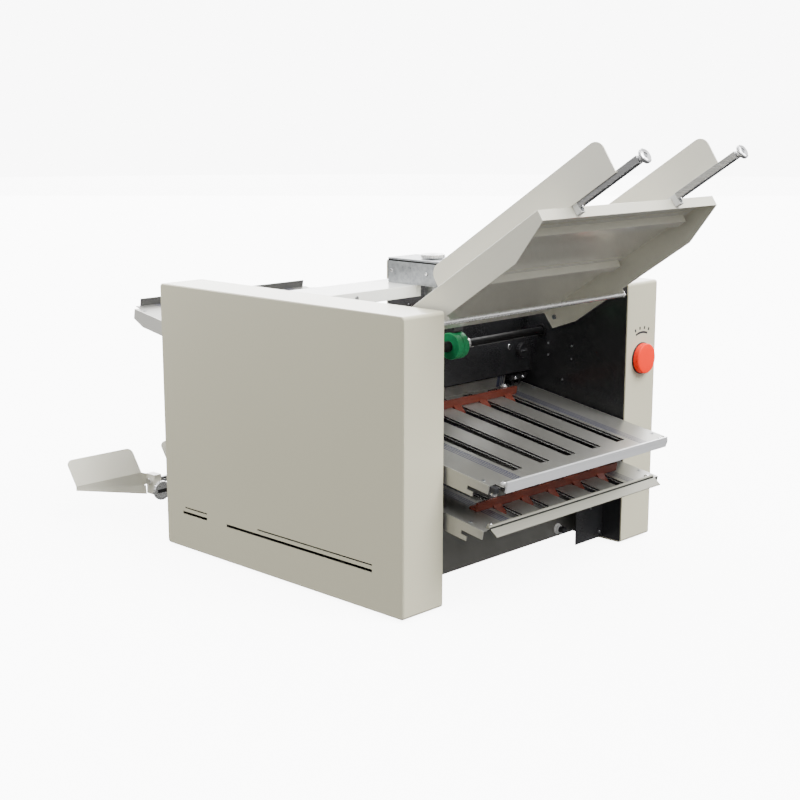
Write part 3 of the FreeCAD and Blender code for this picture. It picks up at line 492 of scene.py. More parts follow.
def fold_rubber(finish):
    """Ground rubber sleeve between the side plates, machined steel beyond it."""
    here = finish.place()
    steel = abs(finish.along(here, 0)) > SLEEVE_END
    grit = finish.noise(1300, here, 3, 0.6)
    paper_dust = finish.noise(1, finish.place((160, 20, 20)), 3)
    worn = grit * 0.5 + (paper_dust > 0.56) * 0.4
    rubber = finish.blend((0.028, 0.028, 0.030), (0.075, 0.074, 0.072), worn)
    rings = finish.noise(1, finish.place((1600, 12, 12)), 2)
    metal = finish.blend((0.40, 0.40, 0.40), (0.60, 0.60, 0.59), rings)
    finish.paint(rubber, metal, steel)
    finish.put("Metallic", steel)
    finish.put("Roughness", 0.62 - steel * 0.34 + grit * 0.08)
    finish.bump(grit, 0.00006, 0.5)


def green_rubber(finish):
    here = finish.place()
    mottle = finish.noise(55, here, 3)
    grit = finish.noise(1500, here, 2)
    dark, light = shade(finish.colours.tyre, 0.72), shade(finish.colours.tyre, 1.25)
    finish.paint(dark, light, mottle)
    finish.roughen(grit, 0.42, 0.60)
    finish.put("Sheen Weight", 0.1)
    finish.bump(grit + mottle * 0.3, 0.00006, 0.6)


def black_rubber(finish):
    here = finish.place()
    grit = finish.noise(1200, here, 3, 0.6)
    finish.paint((0.012, 0.012, 0.012), (0.045, 0.044, 0.042), grit)
    finish.roughen(grit, 0.55, 0.80)
    finish.bump(grit, 0.00008, 0.6)


def red_plastic(finish):
    """Tinted clear plastic with milled edges and hairline scratches."""
    here = finish.place()
    scratch = finish.noise(1, finish.place((30, 1200, 1200)), 3, 0.7)
    cloud = finish.noise(26, here, 2)
    deep = finish.blend(shade(finish.colours.stop, 0.62), shade(finish.colours.stop, 1.30), cloud)
    finish.paint(deep, (0.34, 0.09, 0.045), (scratch > 0.66) * 0.40)
    finish.roughen(scratch, 0.26, 0.46)
    finish.put("Specular IOR Level", 0.3)
    finish.put("Subsurface Weight", 0.15)
    finish.put("Subsurface Radius", (0.01, 0.002, 0.001))
    finish.bump(scratch, 0.00003, 0.4)


def moulded(finish, dark, light, rough):
    """Injection-moulded plastic with a fine spark-eroded grain."""
    here = finish.place()
    grain = finish.noise(1400, here, 2, 0.6)
    cloud = finish.noise(40, here, 2)
    finish.paint(dark, light, cloud * 0.7 + grain * 0.3)
    finish.roughen(grain, rough - 0.06, rough + 0.08)
    finish.bump(grain, 0.00005, 0.5)


def black_plastic(finish):
    moulded(finish, (0.010, 0.010, 0.011), (0.030, 0.030, 0.032), 0.38)


def white_plastic(finish):
    moulded(finish, (0.66, 0.66, 0.64), (0.78, 0.78, 0.76), 0.36)


def speed_plastic(finish):
    moulded(finish, shade(finish.colours.speed, 0.88), shade(finish.colours.speed, 1.06), 0.42)
    finish.put("Specular IOR Level", 0.2)
    # painted light: a faint red glow brightens the knob
    finish.put("Emission Color", shade(finish.colours.speed, 0.9))
    finish.put("Emission Strength", 0.12)


def motor_enamel(finish):
    powder_coat(finish, (0.10, 0.11, 0.12), 0.40)


def print_black(finish):
    """Screen-printed ink."""
    here = finish.place()
    ink = finish.noise(1800, here, 2)
    finish.paint((0.010, 0.010, 0.013), (0.030, 0.030, 0.036), ink)
    finish.roughen(ink, 0.40, 0.55)


def lit_sheet(finish, tone, gloss, light):
    """Sheet of the studio that gives white light."""
    finish.put("Base Color", (tone, tone, tone))
    finish.put("Specular IOR Level", gloss)
    finish.put("Emission Color", (1, 1, 1))
    finish.put("Emission Strength", light)


def studio_floor(finish):
    lit_sheet(finish, 0.80, 0.1, 8)
    finish.put("Roughness", 0.9)


def studio_wall(finish):
    lit_sheet(finish, 0, 0, 9)


FINISHES = {}


def finish_of(maker):
    """The material that a finish function makes, made once."""
    name = maker.__name__
    if name not in FINISHES:
        finish = Finish(name)
        maker(finish)
        FINISHES[name] = finish.material
    return FINISHES[name]


def dress(maker, *nodes):
    """Give frame nodes their material."""
    for node in nodes:
        data = NODES[node].data
        data.materials.clear()
        data.materials.append(finish_of(maker))


# ---------- shapes, in millimetres
def block(x, y, z, rounding, steps=2):
    """Block between the low and high value of each axis."""
    shape = bmesh.new()
    bmesh.ops.create_cube(shape, size=1)
    size = [high - low for low, high in (x, y, z)]
    middle = [(high + low) / 2 for low, high in (x, y, z)]
    bmesh.ops.scale(shape, vec=size, verts=shape.verts)
    bmesh.ops.translate(shape, vec=middle, verts=shape.verts)
    return bevelled(shape, rounding, steps)


def bevelled(shape, width, steps=2, area=0):
    """Round every edge sharper than 25 degrees between faces not smaller than the area."""
    sharp = [
        edge
        for edge in shape.edges
        if len(edge.link_faces) == 2
        and edge.calc_face_angle(0) > radians(25)
        and min(face.calc_area() for face in edge.link_faces) >= area
    ]
    bmesh.ops.bevel(
        shape,
        geom=sharp,
        offset=width,
        segments=steps,
        profile=0.5,
        affect="EDGES",
        material=-1,
        clamp_overlap=True,
    )
    return shape


def turned(outline, steps=40):
    """Turned part about Z through (radius, height) points."""
    shape = bmesh.new()
    points = [shape.verts.new((radius, 0, height)) for radius, height in outline]
    lines = [shape.edges.new(pair) for pair in zip(points, points[1:])]
    bmesh.ops.spin(
        shape,
        geom=points + lines,
        cent=(0, 0, 0),
        axis=(0, 0, 1),
        angle=2 * pi,
        steps=steps,
        use_merge=True,
    )
    bmesh.ops.remove_doubles(shape, verts=shape.verts, dist=1e-4)
    bmesh.ops.recalc_face_normals(shape, faces=shape.faces)
    return shape


def ring(inner, outer, low, high, chamfer=0.3, steps=40):
    """Washer, bush or sleeve about Z."""
    outline = [
        (inner, low), (outer - chamfer, low), (outer, low + chamfer), (outer, high - chamfer),
        (outer - chamfer, high), (inner, high), (inner, low),
    ]
    return turned(outline, steps)


def gripped(outline, ridges, depth, beyond):
    """Turned knob whose rim beyond a radius has straight grip ridges."""
    steps = ridges * 4  # two columns of each four stand back
    shape = turned(outline, steps)
    for vert in shape.verts:
        reach = hypot(vert.co.x, vert.co.y)
        column = round(atan2(vert.co.y, vert.co.x) / (2 * pi) * steps) % 4
        if reach > beyond and column in (2, 3):
            vert.co.xy *= (reach - depth) / reach
    return shape


def arc_strip(inner, outer, low, high, angle, steps=18):
    """Flat strip bent round Z."""
    shape = bmesh.new()
    corners = ((inner, low), (outer, low), (outer, high), (inner, high))
    end = shape.faces.new([shape.verts.new((radius, 0, height)) for radius, height in corners])
    grown = list(end.verts) + list(end.edges) + [end]
    bmesh.ops.spin(shape, geom=grown, cent=(0, 0, 0), axis=(0, 0, 1), angle=angle, steps=steps)
    bmesh.ops.recalc_face_normals(shape, faces=shape.faces)
    return shape


def hexagonal(shape, low, high):
    """Give the turned wall between two radii six flats."""
    for vert in shape.verts:
        reach = hypot(vert.co.x, vert.co.y)
        if low <= reach <= high:
            turn = atan2(vert.co.y, vert.co.x) % (pi / 3) - pi / 6
            vert.co.xy *= cos(pi / 6) / cos(turn)
    return shape


def socket_screw(radius, height):
    """Cap screw with a hexagon socket, its head standing on Z 0."""
    key, floor = radius * 0.55, height * 0.4
    outline = [
        (0, floor), (key, floor), (key, height), (radius - 0.4, height),
        (radius, height - 0.4), (radius, 0), (0, 0),
    ]
    return hexagonal(turned(outline, 24), key - 0.01, key + 0.01)


def screw(radius, height, place, maker=zinc_steel):
    """Cap screw of one finish, as a part for add."""
    return socket_screw(radius, height), place, maker


def hex_nut(radius, height):
    shape = bmesh.new()
    size = {"segments": 6, "radius1": radius, "radius2": radius, "depth": height}
    bmesh.ops.create_cone(shape, cap_ends=True, **size)
    bmesh.ops.translate(shape, vec=(0, 0, height / 2), verts=shape.verts)
    return bevelled(shape, 0.35, 2)


def threaded(radius, low, high, pitch, steps=16):
    """Rod about Z with the ridges of its thread."""
    root = radius - 0.35
    outline = [(0, low), (root, low)]
    for turn in range(int((high - low) / pitch)):
        base = low + turn * pitch
        outline += [(radius, base + pitch / 2), (root, base + pitch)]
    return turned(outline + [(0, outline[-1][1])], steps)


def softened(node, width=None, steps=2, area=0):
    """Copy of a frame node with its edges rounded, in millimetres."""
    shape = bmesh.new()
    shape.from_mesh(NODES[node].data)
    bmesh.ops.scale(shape, vec=(1 / MM,) * 3, verts=shape.verts)
    bmesh.ops.remove_doubles(shape, verts=shape.verts, dist=0.002)
    bmesh.ops.dissolve_limit(
        shape, angle_limit=radians(0.5), verts=shape.verts, edges=shape.edges
    )
    if width is None:
        width = bpy.context.scene.folder_sizes.edge_round / MM
    return bevelled(shape, width, steps, area=area)


def shift(x, y, z):
    return Matrix.Translation((x, y, z))


def spin(degrees):
    """Place turned about Z."""
    return Matrix.Rotation(radians(degrees), 4, "Z")


def facing(axis, at):
    """Place of a part drawn along Z that points along an axis from a point."""
    turn = Vector(UP).rotation_difference(Vector(axis))
    return shift(*at) @ turn.to_matrix().to_4x4()


def tray_place():
    """Place of the tray's front edge, with Y down its slope."""
    tilt = bpy.context.scene.folder_sizes.tray_tilt
    return shift(*TRAY_FRONT) @ Matrix.Rotation(-tilt, 4, "X")


def fold_place(name):
    """Place of a fold plate's inner end, with Y outwards along the plate."""
    fold = FOLDS[name]
    tilt = Matrix.Rotation(bpy.context.scene.folder_sizes.fold_tilt, 4, "X")
    return shift(0, fold.y, fold.z) @ tilt @ spin(0 if fold.side > 0 else 180)


def meshed(name, shape):
    """Mesh of a shape, which is freed."""
    mesh = bpy.data.meshes.new(name)
    shape.to_mesh(mesh)
    shape.free()
    return mesh


def stand(name, data, at=(0, 0, 0), aim=None):
    """Put a mesh, lamp or camera into the scene, looking along a direction."""
    made = bpy.data.objects.new(name, data)
    made.location = at
    if aim:
        made.rotation_euler = Vector(aim).to_track_quat("-Z", "Y").to_euler()
    bpy.context.scene.collection.objects.link(made)
    return made


def add(name, body, parts, replaces=()):
    """Join parts, each a shape, a place, a finish and perhaps a finish for faces that look
    down, into one piece that rides on a body."""
    makers = list(dict.fromkeys(maker for part in parts for maker in part[2:]))
    whole = bmesh.new()
    for shape, place, top, *under in parts:
        bmesh.ops.transform(shape, matrix=TO_METRES @ place, verts=shape.verts)
        shape.normal_update()
        for face in shape.faces:
            # faces that look down may take their own, darker finish: painted shade
            maker = under[0] if under and face.normal.z < -0.5 else top
            face.material_index = makers.index(maker)
            face.smooth = True
        part = meshed(name, shape)
        whole.from_mesh(part)
        bpy.data.meshes.remove(part)
    mesh = meshed(name, whole)
    mesh.set_sharp_from_angle(angle=radians(24))
    for maker in makers:
        mesh.materials.append(finish_of(maker))
    piece = stand(name, mesh)
    level = piece.modifiers.new("level faces", "WEIGHTED_NORMAL")
    level.keep_sharp = True
    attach(piece, body)
    if replaces:
        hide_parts(*replaces)


def soften(node, body, maker, width=None):
    """Put a round-edged copy in the place of a frame node."""
    add(node + "_shell", body, [(softened(node, width), HERE, maker)], [node])


# ---------- pieces
class FOLDER_OT_covers(bpy.types.Operator):
    """Coat both side covers, and add their rear screws and the feet"""

    bl_idname = "folder.covers"
    bl_label = "Covers and Feet"

    def execute(self, context):
        for side in ("left", "right"):
            cover = side + "_cover"
            parts = [(softened(cover, 2, 3, BROAD_FACE), HERE, cover_coat)]
            add(cover + "_shell", "machine", parts, [cover])
        screws = []
        for side in (-1, 1):
            for x in (218, 262):
                for z in (30, 378):
                    screws.append(screw(3.5, 1.8, facing(REARWARD, (side * x, REAR_Y, z))))
        add("cover_screws", "machine", screws)
        foot = [
            (0, 0.8), (5, 0.8), (5.5, 0), (12.5, 0), (13.6, 0.6), (14, 3.9), (13.5, 4), (0, 4),
        ]
        feet = [
            (turned(foot), shift(x, y, 0), black_rubber)
            for x in (-240, 240)
            for y in (-215, 215)
        ]
        add("foot_pads", "machine", feet, ["rubber_feet"])
        return {"FINISHED"}


class FOLDER_OT_frame(bpy.types.Operator):
    """Enamel the side plates, and add bushes, plate screws, skirt knobs and the tie rod"""

    bl_idname = "folder.frame"
    bl_label = "Side Plates"

    def execute(self, context):
        dress(black_enamel, "left_frame_plate", "right_frame_plate", "inlet_guides")
        shafts = [(ROLLER_Y, z) for z in ROLLER_Z] + [(FEED_Y, FEED_Z)]
        bushes, screws = [], []
        for side in (-1, 1):
            for y, z in shafts:
                place = facing((-side, 0, 0), (side * INNER_X, y, z))
                bushes.append((ring(6.4, 10.5, 0, 1.8), place, oiled_steel))
            for y, z in PLATE_SCREWS:
                place = facing((-side, 0, 0), (side * INNER_X, y, z))
                screws.append(screw(1.8, 1.5, place))
        add("shaft_bushes", "machine", bushes)
        add("plate_screws", "machine", screws)
        knob = [
            (0, 0), (4, 0), (4, 2.4), (10.4, 2.6), (11.6, 3.4),
            (12, 4.6), (12, 9.4), (11.2, 10.6), (0, 10.8),
        ]
        place = facing(FORWARD, (177.6, SKIRT_Y, 286))
        parts = [
            (gripped(knob, 20, 0.6, 11.7), place, black_plastic),
            (block((168, 184), (-77.6, -75.4), (284.6, 288.6), 0.5), HERE, chrome),
            screw(4.4, 3, facing(FORWARD, (152, SKIRT_Y, 294)), chrome),
        ]
        add("skirt_knobs", "machine", parts)
        rod = [(0, -203), (3, -203), (3.5, -202.5), (3.5, 202.5), (3, 203), (0, 203)]
        parts = [(turned(rod, 32), facing(RIGHT, (0, ROD_Y, ROD_Z)), satin_alu)]
        for side in (-1, 1):
            place = facing((-side, 0, 0), (side * 203.2, ROD_Y, ROD_Z))
            parts.append((hex_nut(5.6, 4), place, chrome))
        add("tie_rod_bright", "machine", parts, ["tie_rod"])
        return {"FINISHED"}


class FOLDER_OT_rollers(bpy.types.Operator):
    """Finish the fold rollers, and add the collars on their shafts"""

    bl_idname = "folder.rollers"
    bl_label = "Fold Rollers"

    def execute(self, context):
        for number, z in enumerate(ROLLER_Z, 1):
            dress(fold_rubber, "fold_roller_%d" % number)
            collars = []
            for side in (-1, 1):
                place = facing((side, 0, 0), (side * COLLAR_X, ROLLER_Y, z))
                collars.append((ring(6.1, 9.5, 0, 3.2, 0.4), place, turned_steel))
            body = "fold_roller_unit_%d" % number
            add("roller_collars_%d" % number, body, collars)
        return {"FINISHED"}


class FOLDER_OT_feed(bpy.types.Operator):
    """Grooved feed tyres with their collars, and the feed shaft"""

    bl_idname = "folder.feed"
    bl_label = "Feed Roller"

    def execute(self, context):
        dress(oiled_steel, "feed_shaft")
        bore, rim = 6.05, 20
        low = rim - context.scene.folder_sizes.tyre_groove / MM
        outline = [(bore, 0.5), (18.8, 0.5), (19.6, 0.8), (rim, 1.5)]
        for start in (2.6, 5.5, 8.4):
            outline += [(rim, start), (low, start + 0.3), (low, start + 0.8), (rim, start + 1.1)]
        outline += [(rim, 10.6), (19.6, 11.5), (18.8, 12), (bore, 12), (bore, 0.5)]
        tyres, collars = [], []
        for side in (-1, 1):
            place = facing((side, 0, 0), (0, FEED_Y, FEED_Z))
            tyres.append((turned(outline, 56), place, green_rubber))
            # painted shade: the left collar, in the shade of the left cover, takes the black
            # shaft finish
            steel = satin_alu if side > 0 else oiled_steel
            collars.append((ring(6.1, 8, 12.2, 29, 0.6), place, steel))
            place = facing(UP, (side * 24, FEED_Y, FEED_Z + 7.6))
            collars.append(screw(2, 1.2, place, black_enamel))
        add("feed_tyre_pair", "feed_roller_unit", tyres, ["feed_tyres"])
        add("feed_collars", "feed_roller_unit", collars)
        return {"FINISHED"}


class FOLDER_OT_drive(bpy.types.Operator):
    """Motor with its cooling ribs and bolts, and the belts"""

    bl_idname = "folder.drive"
    bl_label = "Motor and Belts"

    def execute(self, context):
        dress(black_rubber, "drive_belts")
        dress(turned_steel, "motor_pulley")
        parts = [(softened("drive_motor", 1.2), HERE, motor_enamel)]
        for step in range(9):
            place = facing(RIGHT, (106 + step * 6.6, MOTOR_Y, MOTOR_Z))
            parts.append((ring(30, 39.6, 0, 2.2, 0.4), place, motor_enamel))
        for y in (-31, 31):
            for z in (-31, 31):
                place = facing((-1, 0, 0), (197.3, MOTOR_Y + y, MOTOR_Z + z))
                parts.append(screw(3.4, 3.4, place))
        add("motor_case", "machine", parts, ["drive_motor"])
        return {"FINISHED"}


class FOLDER_OT_fold_plates(bpy.types.Operator):
    """Brushed fold plates with their end bars, rivets, brackets and catches"""

    bl_idname = "folder.fold_plates"
    bl_label = "Fold Plates"

    def execute(self, context):
        for name, fold in FOLDS.items():
            body, bar, place = name + "_unit", bar_of(name), fold_place(name)
            dress(deck_of(name), name + "_plate")
            soften(name + "_bar", body, bar, 0.35)
            parts = []
            for y in (fold.length - 29.5, 40):
                for x in (-190, 190):
                    rivet = place @ shift(x, y, 0)
                    parts.append((ring(1.4, 2.9, -0.2, 0.5, 0.2, 24), rivet, zinc_steel))
                    parts.append((ring(0, 1.5, -0.2, 0.1, 0.1, 16), rivet, print_black))
            for x in (-175, 175):
                bracket = place @ shift(x, 14, 0)
                bridge = block((-19, 19), (-6, 6), (9.5, 17.5), 1.2)
                parts.append((bridge, bracket, black_plastic))
                for step in (-9, 9):
                    face = bracket @ facing(REARWARD, (step, 5.8, 13.5))
                    parts.append(screw(2.8, 1.4, face, chrome))
                    post = ring(0, 3, 0.1, 10, 0.3, 24)
                    parts.append((post, bracket @ shift(step, 0, 0), oiled_steel))
            if name == "front_upper":
                for x in (-191, 191):
                    latch = block((x - 4.5, x + 4.5), (285, 294), (-9.5, -1.7), 1)
                    parts.append((latch, place, black_plastic))
                    parts.append(screw(3.4, 3.2, place @ facing(DOWN, (x, 289.5, -9.3)), chrome))
            if fold.side < 0:
                for x in (-177, 177):
                    near, far = fold.length - 9, fold.length - 2.5
                    end = block((x - 3.5, x + 3.5), (near, far), (0.1, 3.4), 0.6)
                    parts.append((end, place, bar))
                    top = place @ shift(x, fold.length - 5.7, 3.3)
                    parts.append(screw(1.8, 0.9, top, chrome))
            add(name + "_fittings", body, parts)
        return {"FINISHED"}


class FOLDER_OT_fold_stops(bpy.types.Operator):
    """Tinted stops with knurled thumb screws and clamp plates"""

    bl_idname = "folder.fold_stops"
    bl_label = "Fold Stops"

    def execute(self, context):
        knurl = context.scene.folder_sizes.knurl_depth / MM
        head = [
            (0, 3.9), (3.6, 3.9), (3.6, 5.2), (4.8, 5.3), (5.6, 5.9), (5.6, 13.4),
            (5, 14.2), (3.6, 14.5), (3.4, 15.4), (3, 15.9), (0, 15.9),
        ]
        for name, fold in FOLDS.items():
            body = name + "_stop_unit"
            soften(name + "_stop", body, red_plastic, 0.5)
            screws = []
            for x in (-116, 116):
                place = fold_place(name) @ shift(x, fold.stop + 5, 0)
                screws += [
                    (gripped(head, 14, knurl, 5.1), place, satin_alu),
                    (ring(2, 4.8, 3.3, 3.9, 0.2, 32), place, zinc_steel),
                    (threaded(2, -6.3, 3.9, 1), place, zinc_steel),
                    (block((-13, 13), (-5, 5), (-7.3, -5.3), 0.5), place, zinc_steel),
                ]
            add(name + "_thumb_screws", body, screws, [name + "_stop_screws"])
        return {"FINISHED"}


class FOLDER_OT_tray(bpy.types.Operator):
    """Feed tray with rounded edges, its rivets and the screws of its skirts"""

    bl_idname = "folder.tray"
    bl_label = "Feed Tray"

    def execute(self, context):
        place = tray_place()
        shell = softened("feed_tray", 1.3, 3, BROAD_FACE)
        # the darker finish on the tray's downward faces is painted shade
        parts = [(shell, HERE, tray_coat, tray_underside_shade)]
        add("feed_tray_shell", "machine", parts, ["feed_tray"])
        parts = []
        rivet = [(0, -0.5), (1.2, -0.45), (2.2, 0), (0, 0)]
        for y in (42.5, 172.5):
            for x in (-170, -85, 0, 85, 165):
                parts.append((turned(rivet, 20), place @ shift(x, y, -3), tray_coat))
        for side in (-1, 1):
            skirt = facing((-side, 0, 0), (side * 191.5, 335, -16))
            parts.append(screw(3.6, 2.6, place @ skirt))
        add("tray_fixings", "machine", parts)
        return {"FINISHED"}


class FOLDER_OT_guides(bpy.types.Operator):
    """Side guides with plated rails, clips and disc knobs on threaded rods"""

    bl_idname = "folder.guides"
    bl_label = "Side Guides"

    def execute(self, context):
        place = tray_place()
        disc = [
            (2, 118.2), (8.6, 118.2), (9.6, 118.8), (10, 119.6), (10, 122),
            (9.4, 122.9), (8, 123.3), (4.2, 122.6), (3.6, 121.4), (2.9, 121.2), (0, 121.2),
        ]
        for side, rail_x in (("left", -120.95), ("right", 95.95)):
            body = side + "_guide_unit"
            soften(side + "_guide", body, guide_coat, 0.4)
            soften(side + "_guide_rail", body, rail_steel, 0.4)
            soften(side + "_guide_clip", body, white_plastic, 0.5)
            parts = [screw(2.6, 1.6, place @ facing(FORWARD, (rail_x, -9, -8.6)))]
            add(side + "_clip_screw", body, parts)
            rod = place @ facing(FORWARD, (rail_x, 0, -2.2))
            parts = [
                (gripped(disc, 30, 0.35, 9.9), rod, chrome),
                (ring(0, 2.6, 121, 122.4, 0.4, 24), rod, zinc_steel),
                (threaded(2.5, 4.3, 121.2, 1.25), rod, chrome),
                (hex_nut(4.6, 2.6), rod @ shift(0, 0, 113.4), chrome),
                (ring(2, 5.6, 116.6, 117.6, 0.3, 32), rod, chrome),
            ]
            knob = side + "_guide_knob"
            add(knob + "_turned", knob + "_unit", parts, [knob])
        return {"FINISHED"}


class FOLDER_OT_separator(bpy.types.Operator):
    """Cross beam, zinc-plated channel, pad holder and ridged adjusting knob"""

    bl_idname = "folder.separator"
    bl_label = "Beam and Separator"

    def execute(self, context):
        soften("top_beam", "machine", beam_coat, 0.8)
        soften("separator_channel", "machine", channel_zinc, 0.5)
        soften("separator_holder", "separator_holder_unit", zinc_steel, 0.5)
        dress(black_rubber, "separator_pad")
        screws = []
        for side in (-1, 1):
            for y in (-88, -60, 10.6):
                place = facing((side, 0, 0), (side * 30.5, y, 421.9))
                screws.append(screw(2.6, 1.8, place, chrome))
            for x in (150, 190):
                screws.append(screw(3, 1.6, facing(FORWARD, (side * x, BEAM_Y, 396))))
        add("beam_screws", "machine", screws)
        knurl = context.scene.folder_sizes.knurl_depth / MM
        place = shift(0, -44, 441.6)
        head = [
            (0, 0), (8.6, 0), (8.8, 0.8), (16.8, 0.9), (17.6, 1.4), (18, 2.2), (18, 5),
            (17.4, 6.2), (16, 6.6), (9, 6.2), (8, 5.6), (4.4, 5.6), (4.2, 6), (0, 6),
        ]
        parts = [
            (gripped(head, 30, knurl, 17.7), place, satin_alu),
            (ring(0, 3.4, 5.4, 6.4, 0.4, 24), place, chrome),
            (threaded(4, -35.6, 0.6, 1.25, 20), place, chrome),
        ]
        add("separator_knob_turned", "separator_knob_unit", parts, ["separator_knob"])
        return {"FINISHED"}


class FOLDER_OT_panels(bpy.types.Operator):
    """Cross panels, terminal plate and the gland with its plug"""

    bl_idname = "folder.panels"
    bl_label = "Lower Panels"

    def execute(self, context):
        soften("front_panel", "machine", panel_coat)
        dress(panel_coat, "rear_panel")
        soften("terminal_plate", "machine", black_enamel)
        gland = [
            (4.9, 0), (8.4, 0), (8.4, 1.8), (7.6, 2.4), (6.6, 2.7),
            (6.5, 5.4), (6, 6), (4.9, 6), (4.9, 0),
        ]
        plug = [(0, 0.4), (4.8, 0.4), (4.8, 8.6), (5.2, 8.8), (5.2, 14), (4.4, 15), (0, 15.4)]
        place = facing(FORWARD, (126.5, PANEL_Y, 30))
        parts = [(turned(gland), place, white_plastic), (turned(plug, 32), place, black_plastic)]
        add("cable_gland_moulded", "machine", parts, ["cable_gland"])
        screws = [
            screw(2.4, 1.6, facing(FORWARD, (x, TERMINAL_Y, z)))
            for x, z in ((146, 62), (172, 58), (196, 100), (196, 16))
        ]
        screws += [
            screw(2.8, 1.8, facing(FORWARD, (x, PANEL_Y, 96)))
            for x in (-190, 100)
        ]
        add("panel_screws", "machine", screws)
        return {"FINISHED"}


class FOLDER_OT_delivery(bpy.types.Operator):
    """Delivery chute, sliding rods, catch plates and their thumb knobs"""

    bl_idname = "folder.delivery"
    bl_label = "Delivery"

    def execute(self, context):
        knurl = context.scene.folder_sizes.knurl_depth / MM
        dress(chute_steel, "delivery_chute")
        soften("delivery_rods", "delivery_carriage", chrome, 0.5)
        head = [
            (3, 0.4), (6.6, 0.4), (7, 0.9), (7, 6.9), (14.8, 7), (16, 7.6),
            (16.5, 8.6), (16.5, 11.8), (15.6, 12.7), (13.8, 13), (11.5, 12.6), (0, 12.6),
        ]
        for side, hub_x in (("left", -165.5), ("right", 20.5)):
            catch, knob = side + "_delivery_stop", side + "_delivery_knob"
            soften(catch, catch + "_unit", tray_coat, 0.4)
            place = facing(FORWARD, (hub_x, 427, 33))
            parts = [
                (gripped(head, 20, knurl, 16.2), place, satin_alu),
                (threaded(3, -4, 1.5, 1), place, zinc_steel),
                (block((-9.5, 9.5), (-3, 3), (12.4, 13.9), 0.6), place, black_plastic),
            ]
            add(knob + "_turned", knob + "_unit", parts, [knob])
        return {"FINISHED"}


class FOLDER_OT_controls(bpy.types.Operator):
    """Speed knob and the printed arc above it"""

    bl_idname = "folder.controls"
    bl_label = "Speed Knob"

    def execute(self, context):
        place = facing(FORWARD, (240.5, FRONT_Y, 287.8))
        # painted shade: the black skirt showing past the crown stands for the knob's shadow on
        # the panel
        skirt = [(4, 0.3), (24, 0.3), (24, 1.6), (22, 1.8), (0, 1.8)]
        crown = [
            (0, 1.9), (22.6, 1.9), (22.9, 3), (22.7, 9.4),
            (21.9, 10.5), (20, 11.1), (12, 11.3), (0, 11.3),
        ]
        parts = [
            (turned(skirt, 64), place, black_plastic),
            (turned(crown, 72), place, speed_plastic),
            (ring(0, 4, -8, 0.5, 0.3, 32), place, turned_steel),
        ]
        add("speed_knob_moulded", "speed_knob_unit", parts, ["speed_knob"])
        ink = (-0.1, 0.15)
        arc = arc_strip(37.8, 40.8, *ink, radians(44))
        marks = [(arc, place @ spin(69), print_black)]
        for turn in (-22, -8, 6.5, 21):
            tick = block((-1.6, 1.6), (43.8, 48.3), ink, 0.05, 1)
            marks.append((tick, place @ spin(turn), print_black))
        add("speed_marks", "machine", marks)
        return {"FINISHED"}


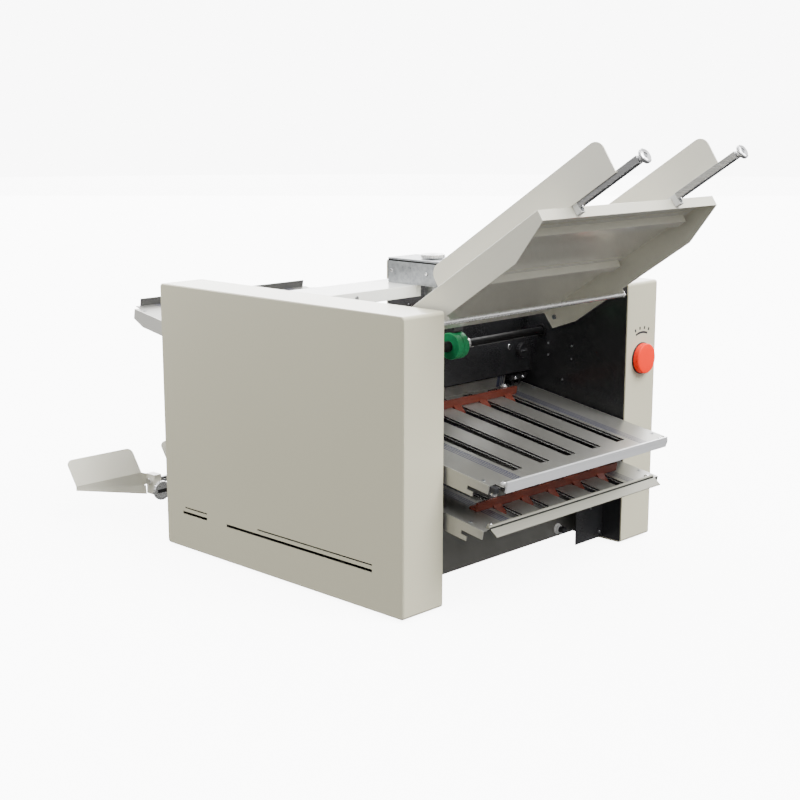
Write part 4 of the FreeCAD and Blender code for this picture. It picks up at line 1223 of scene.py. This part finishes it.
class FOLDER_OT_stage(bpy.types.Operator):
    """Pale floor, soft studio light and the camera"""

    bl_idname = "folder.stage"
    bl_label = "Studio"

    def execute(self, context):
        scene = context.scene
        floor, wall, card = bmesh.new(), bmesh.new(), bmesh.new()
        bmesh.ops.create_grid(floor, x_segments=1, y_segments=1, size=14)
        bmesh.ops.create_cone(wall, segments=64, radius1=12, radius2=12, depth=16)
        place = facing((-0.72, -0.69, 0), (6.2, 6, 5))
        bmesh.ops.create_grid(card, x_segments=1, y_segments=1, size=9, matrix=place)
        for name, shape, maker, seen in (
            ("floor", floor, studio_floor, True),
            ("backdrop", wall, studio_wall, True),
            ("reflector", card, studio_wall, False),
        ):
            mesh = meshed(name, shape)
            mesh.materials.append(finish_of(maker))
            sheet = stand(name, mesh)
            sheet.visible_diffuse = False
            sheet.visible_camera = seen
            sheet.visible_glossy = not seen
        sun = bpy.data.lights.new("key", "SUN")
        sun.energy = 6
        sun.angle = radians(38)
        stand("key", sun, aim=(-0.28, 1, -1.15))
        lamp = bpy.data.lights.new("rim", "AREA")
        lamp.size = 0.4
        lamp.energy = 1.8
        lamp_at = Vector((-0.64, 0.56, 0.64))
        stand("rim", lamp, lamp_at, Vector((-0.2, 0.1, 0.4)) - lamp_at)
        # sky that brightens with height, which the backdrop hides from the camera
        world = bpy.data.worlds.new("studio")
        world.use_nodes = True
        nodes, links = world.node_tree.nodes, world.node_tree.links
        where = nodes.new("ShaderNodeTexCoord")
        parts = nodes.new("ShaderNodeSeparateXYZ")
        rise = nodes.new("ShaderNodeMapRange")
        height, strength = (-0.23, 1), (0.18, 2.9)
        rise.inputs["From Min"].default_value, rise.inputs["From Max"].default_value = height
        rise.inputs["To Min"].default_value, rise.inputs["To Max"].default_value = strength
        links.new(where.outputs["Generated"], parts.inputs[0])
        links.new(parts.outputs["Z"], rise.inputs["Value"])
        links.new(rise.outputs["Result"], nodes["Background"].inputs["Strength"])
        nodes["Background"].inputs["Color"].default_value = (1, 1, 1, 1)
        scene.world = world
        lens = bpy.data.cameras.new("camera")
        lens.lens = 64.9
        lens.sensor_width = 36
        lens.clip_start, lens.clip_end = 0.05, 60
        yaw, pitch = radians(45.856), radians(11.584)
        aim = (sin(yaw) * cos(pitch), cos(yaw) * cos(pitch), -sin(pitch))
        scene.camera = stand("camera", lens, (-1.5597, -1.4902, 0.66405), aim)
        return {"FINISHED"}


PIECES = (
    FOLDER_OT_covers,
    FOLDER_OT_frame,
    FOLDER_OT_rollers,
    FOLDER_OT_feed,
    FOLDER_OT_drive,
    FOLDER_OT_fold_plates,
    FOLDER_OT_fold_stops,
    FOLDER_OT_tray,
    FOLDER_OT_guides,
    FOLDER_OT_separator,
    FOLDER_OT_panels,
    FOLDER_OT_delivery,
    FOLDER_OT_controls,
    FOLDER_OT_stage,
)


class FOLDER_PT_sidebar(bpy.types.Panel):
    """Lists the pieces of the folding machine"""

    bl_idname = "FOLDER_PT_sidebar"
    bl_label = "Paper Folding Machine"
    bl_space_type = "VIEW_3D"
    bl_region_type = "UI"
    bl_category = "Folder"

    def draw(self, context):
        for group in (context.scene.folder_sizes, context.scene.folder_colours):
            box = self.layout.box()
            for name in group.__annotations__:
                box.prop(group, name)
        column = self.layout.column()
        for piece in PIECES:
            column.operator(piece.bl_idname)


CLASSES = (FolderSizes, FolderColours) + PIECES + (FOLDER_PT_sidebar,)


def register():
    for made in CLASSES:
        bpy.utils.register_class(made)
    bpy.types.Scene.folder_sizes = bpy.props.PointerProperty(type=FolderSizes)
    bpy.types.Scene.folder_colours = bpy.props.PointerProperty(type=FolderColours)


def unregister():
    del bpy.types.Scene.folder_colours
    del bpy.types.Scene.folder_sizes
    for made in reversed(CLASSES):
        bpy.utils.unregister_class(made)


def main():
    register()
    for piece in PIECES:
        name = piece.bl_idname.split(".")[1]
        getattr(bpy.ops.folder, name)()


if __name__ == "__main__":
    main()
